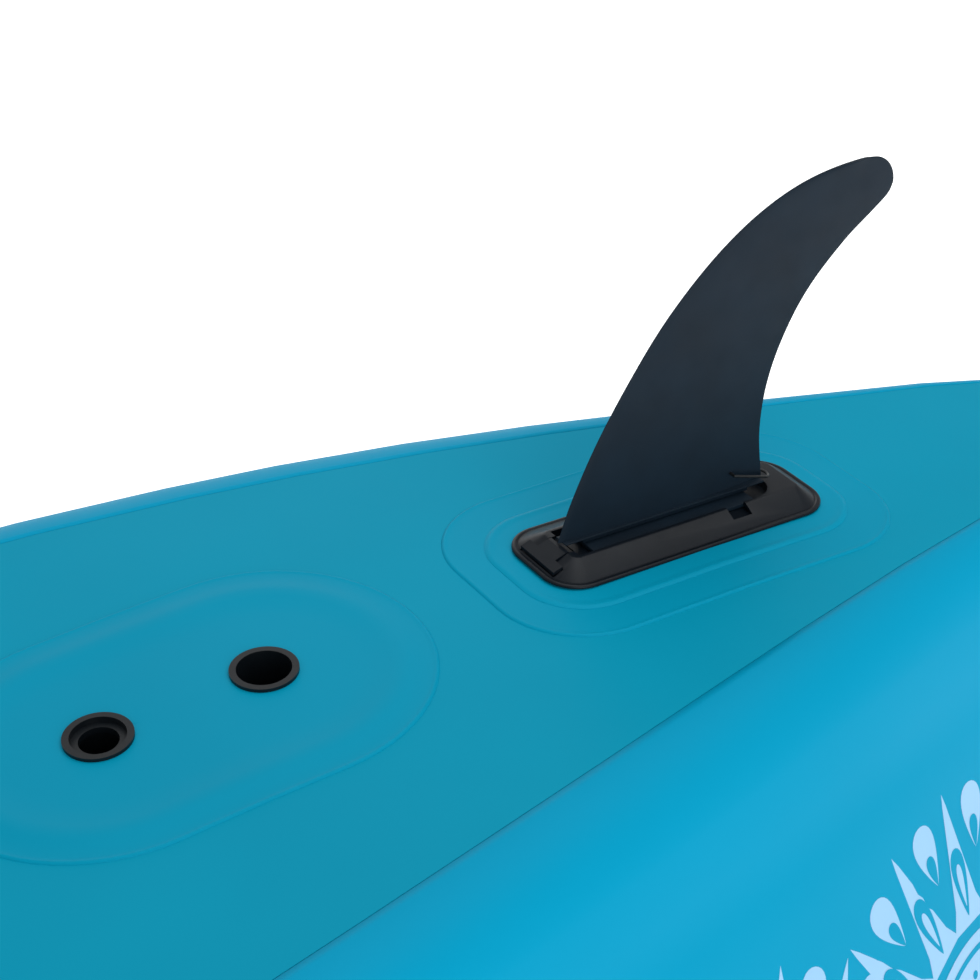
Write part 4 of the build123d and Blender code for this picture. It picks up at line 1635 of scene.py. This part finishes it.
# ---------------------------------------------------------------- studio
@dataclass
class Studio:
    """Pale floor, soft lights and the camera over the craft's stern quarter."""

    hull: Hull
    lens: float = 85.8
    eye: Triple = (-829.7, -1026.0, 805.8)
    forward: Triple = (0.4774, 0.7132, -0.5132)
    right: Triple = (0.8405, -0.5410, 0.0301)
    sensor: float = 36.0
    reach: float = 40.0             # half the floor's side, in metres
    glow: float = 0.70              # of the paper floor
    room: float = 0.46              # strength of the even light from all round
    lights: tuple[tuple[str, tuple, float, float, tuple], ...] = (      # name, place, side, watts, aim
        ("key_panel", (0.4, -4.4, 2.1), 3.2, 84.0, (1.1, 0.0, 0.4)),
        ("top_panel", (2.2, 0.2, 3.6), 3.0, 56.0, (1.3, 0.0, 0.4)),
        ("back_panel", (2.8, 4.4, 1.8), 2.6, 24.0, (0.9, 0.0, 0.4)))

    def build(self) -> None:
        """Set up the floor, the sky, the lights and the camera."""
        bpy.context.scene.view_settings.view_transform = "Standard"
        self.floor()
        self.sky()
        for panel in self.lights:
            self.light(*panel)
        self.camera()

    def floor(self) -> None:
        """Lay a pale floor that glows a little, so that it reads as white paper."""
        corners = [Vector((x * self.reach, y * self.reach, 0))
                   for x, y in ((-1, -1), (1, -1), (1, 1), (-1, 1))]
        floor = new_object("studio_floor", corners, [(0, 1, 2, 3)])
        paper = bpy.data.materials.new("white_paper_floor")
        paper.use_nodes = True
        tree = paper.node_tree
        tree.nodes.clear()
        shader = add_node(tree, "ShaderNodeBsdfPrincipled", {
            "Base Color": linear("#F4F5F6"), "Roughness": 0.9, "Emission Color": linear("#FFFFFF"),
            "Emission Strength": self.glow})
        under = add_node(tree, "ShaderNodeNewGeometry").outputs["Backfacing"]
        clear = add_node(tree, "ShaderNodeBsdfTransparent")
        sheet = add_node(tree, "ShaderNodeMixShader",
                         {0: under, 1: shader.outputs["BSDF"], 2: clear.outputs["BSDF"]})
        add_node(tree, "ShaderNodeOutputMaterial", {"Surface": sheet.outputs["Shader"]})
        floor.data.materials.append(paper)

    def sky(self) -> None:
        """Light the room evenly from all round."""
        world = bpy.data.worlds.new("soft_room")
        bpy.context.scene.world = world
        world.use_nodes = True
        world.node_tree.nodes["Background"].inputs["Color"].default_value = (1, 1, 1, 1)
        world.node_tree.nodes["Background"].inputs["Strength"].default_value = self.room

    def light(self, name: str, at: Triple, size: float, watts: float,
              towards: Triple) -> None:
        """Hang a soft light panel.

        Args:
            name: its name.
            at: where it hangs, in metres.
            size: its side.
            watts: its power.
            towards: the point it faces.
        """
        data = bpy.data.lights.new(name, "AREA")
        data.size = size
        data.energy = watts
        lamp = bpy.data.objects.new(name, data)
        bpy.context.collection.objects.link(lamp)
        lamp.location = at
        lamp.rotation_mode = "QUATERNION"
        lamp.rotation_quaternion = (Vector(towards) - Vector(at)).to_track_quat("-Z", "Y")
        lamp.visible_camera = False

    def camera(self) -> None:
        """Place the camera from the fin box."""
        place = self.hull.box_frame()
        turn = place.to_3x3()
        forward, right = (turn @ Vector(v) for v in (self.forward, self.right))
        up = right.cross(forward).normalized()
        right = forward.cross(up).normalized()
        data = bpy.data.cameras.new("camera")
        data.lens = self.lens
        data.sensor_width = self.sensor
        data.clip_start = 0.05
        data.clip_end = 200.0
        camera = bpy.data.objects.new("camera", data)
        bpy.context.collection.objects.link(camera)
        camera.matrix_world = Matrix.Translation(place @ (Vector(self.eye) * MM)) @ Matrix(
            (right, up, -forward.normalized())).transposed().to_4x4()
        bpy.context.scene.camera = camera


def main() -> None:
    """Build every sub-assembly in order."""
    logging.basicConfig(level=logging.INFO, format="%(message)s")
    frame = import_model()
    hull = Hull()
    Fittings().build(frame["nodes"])
    for kind in (FloorChamber, SideWalls, Reinforcements, FinBox, Fin, DeckPads, CarryHandles, PrintedPattern,
                 Studio):
        kind(hull).build()


if __name__ == "__main__":
    main()
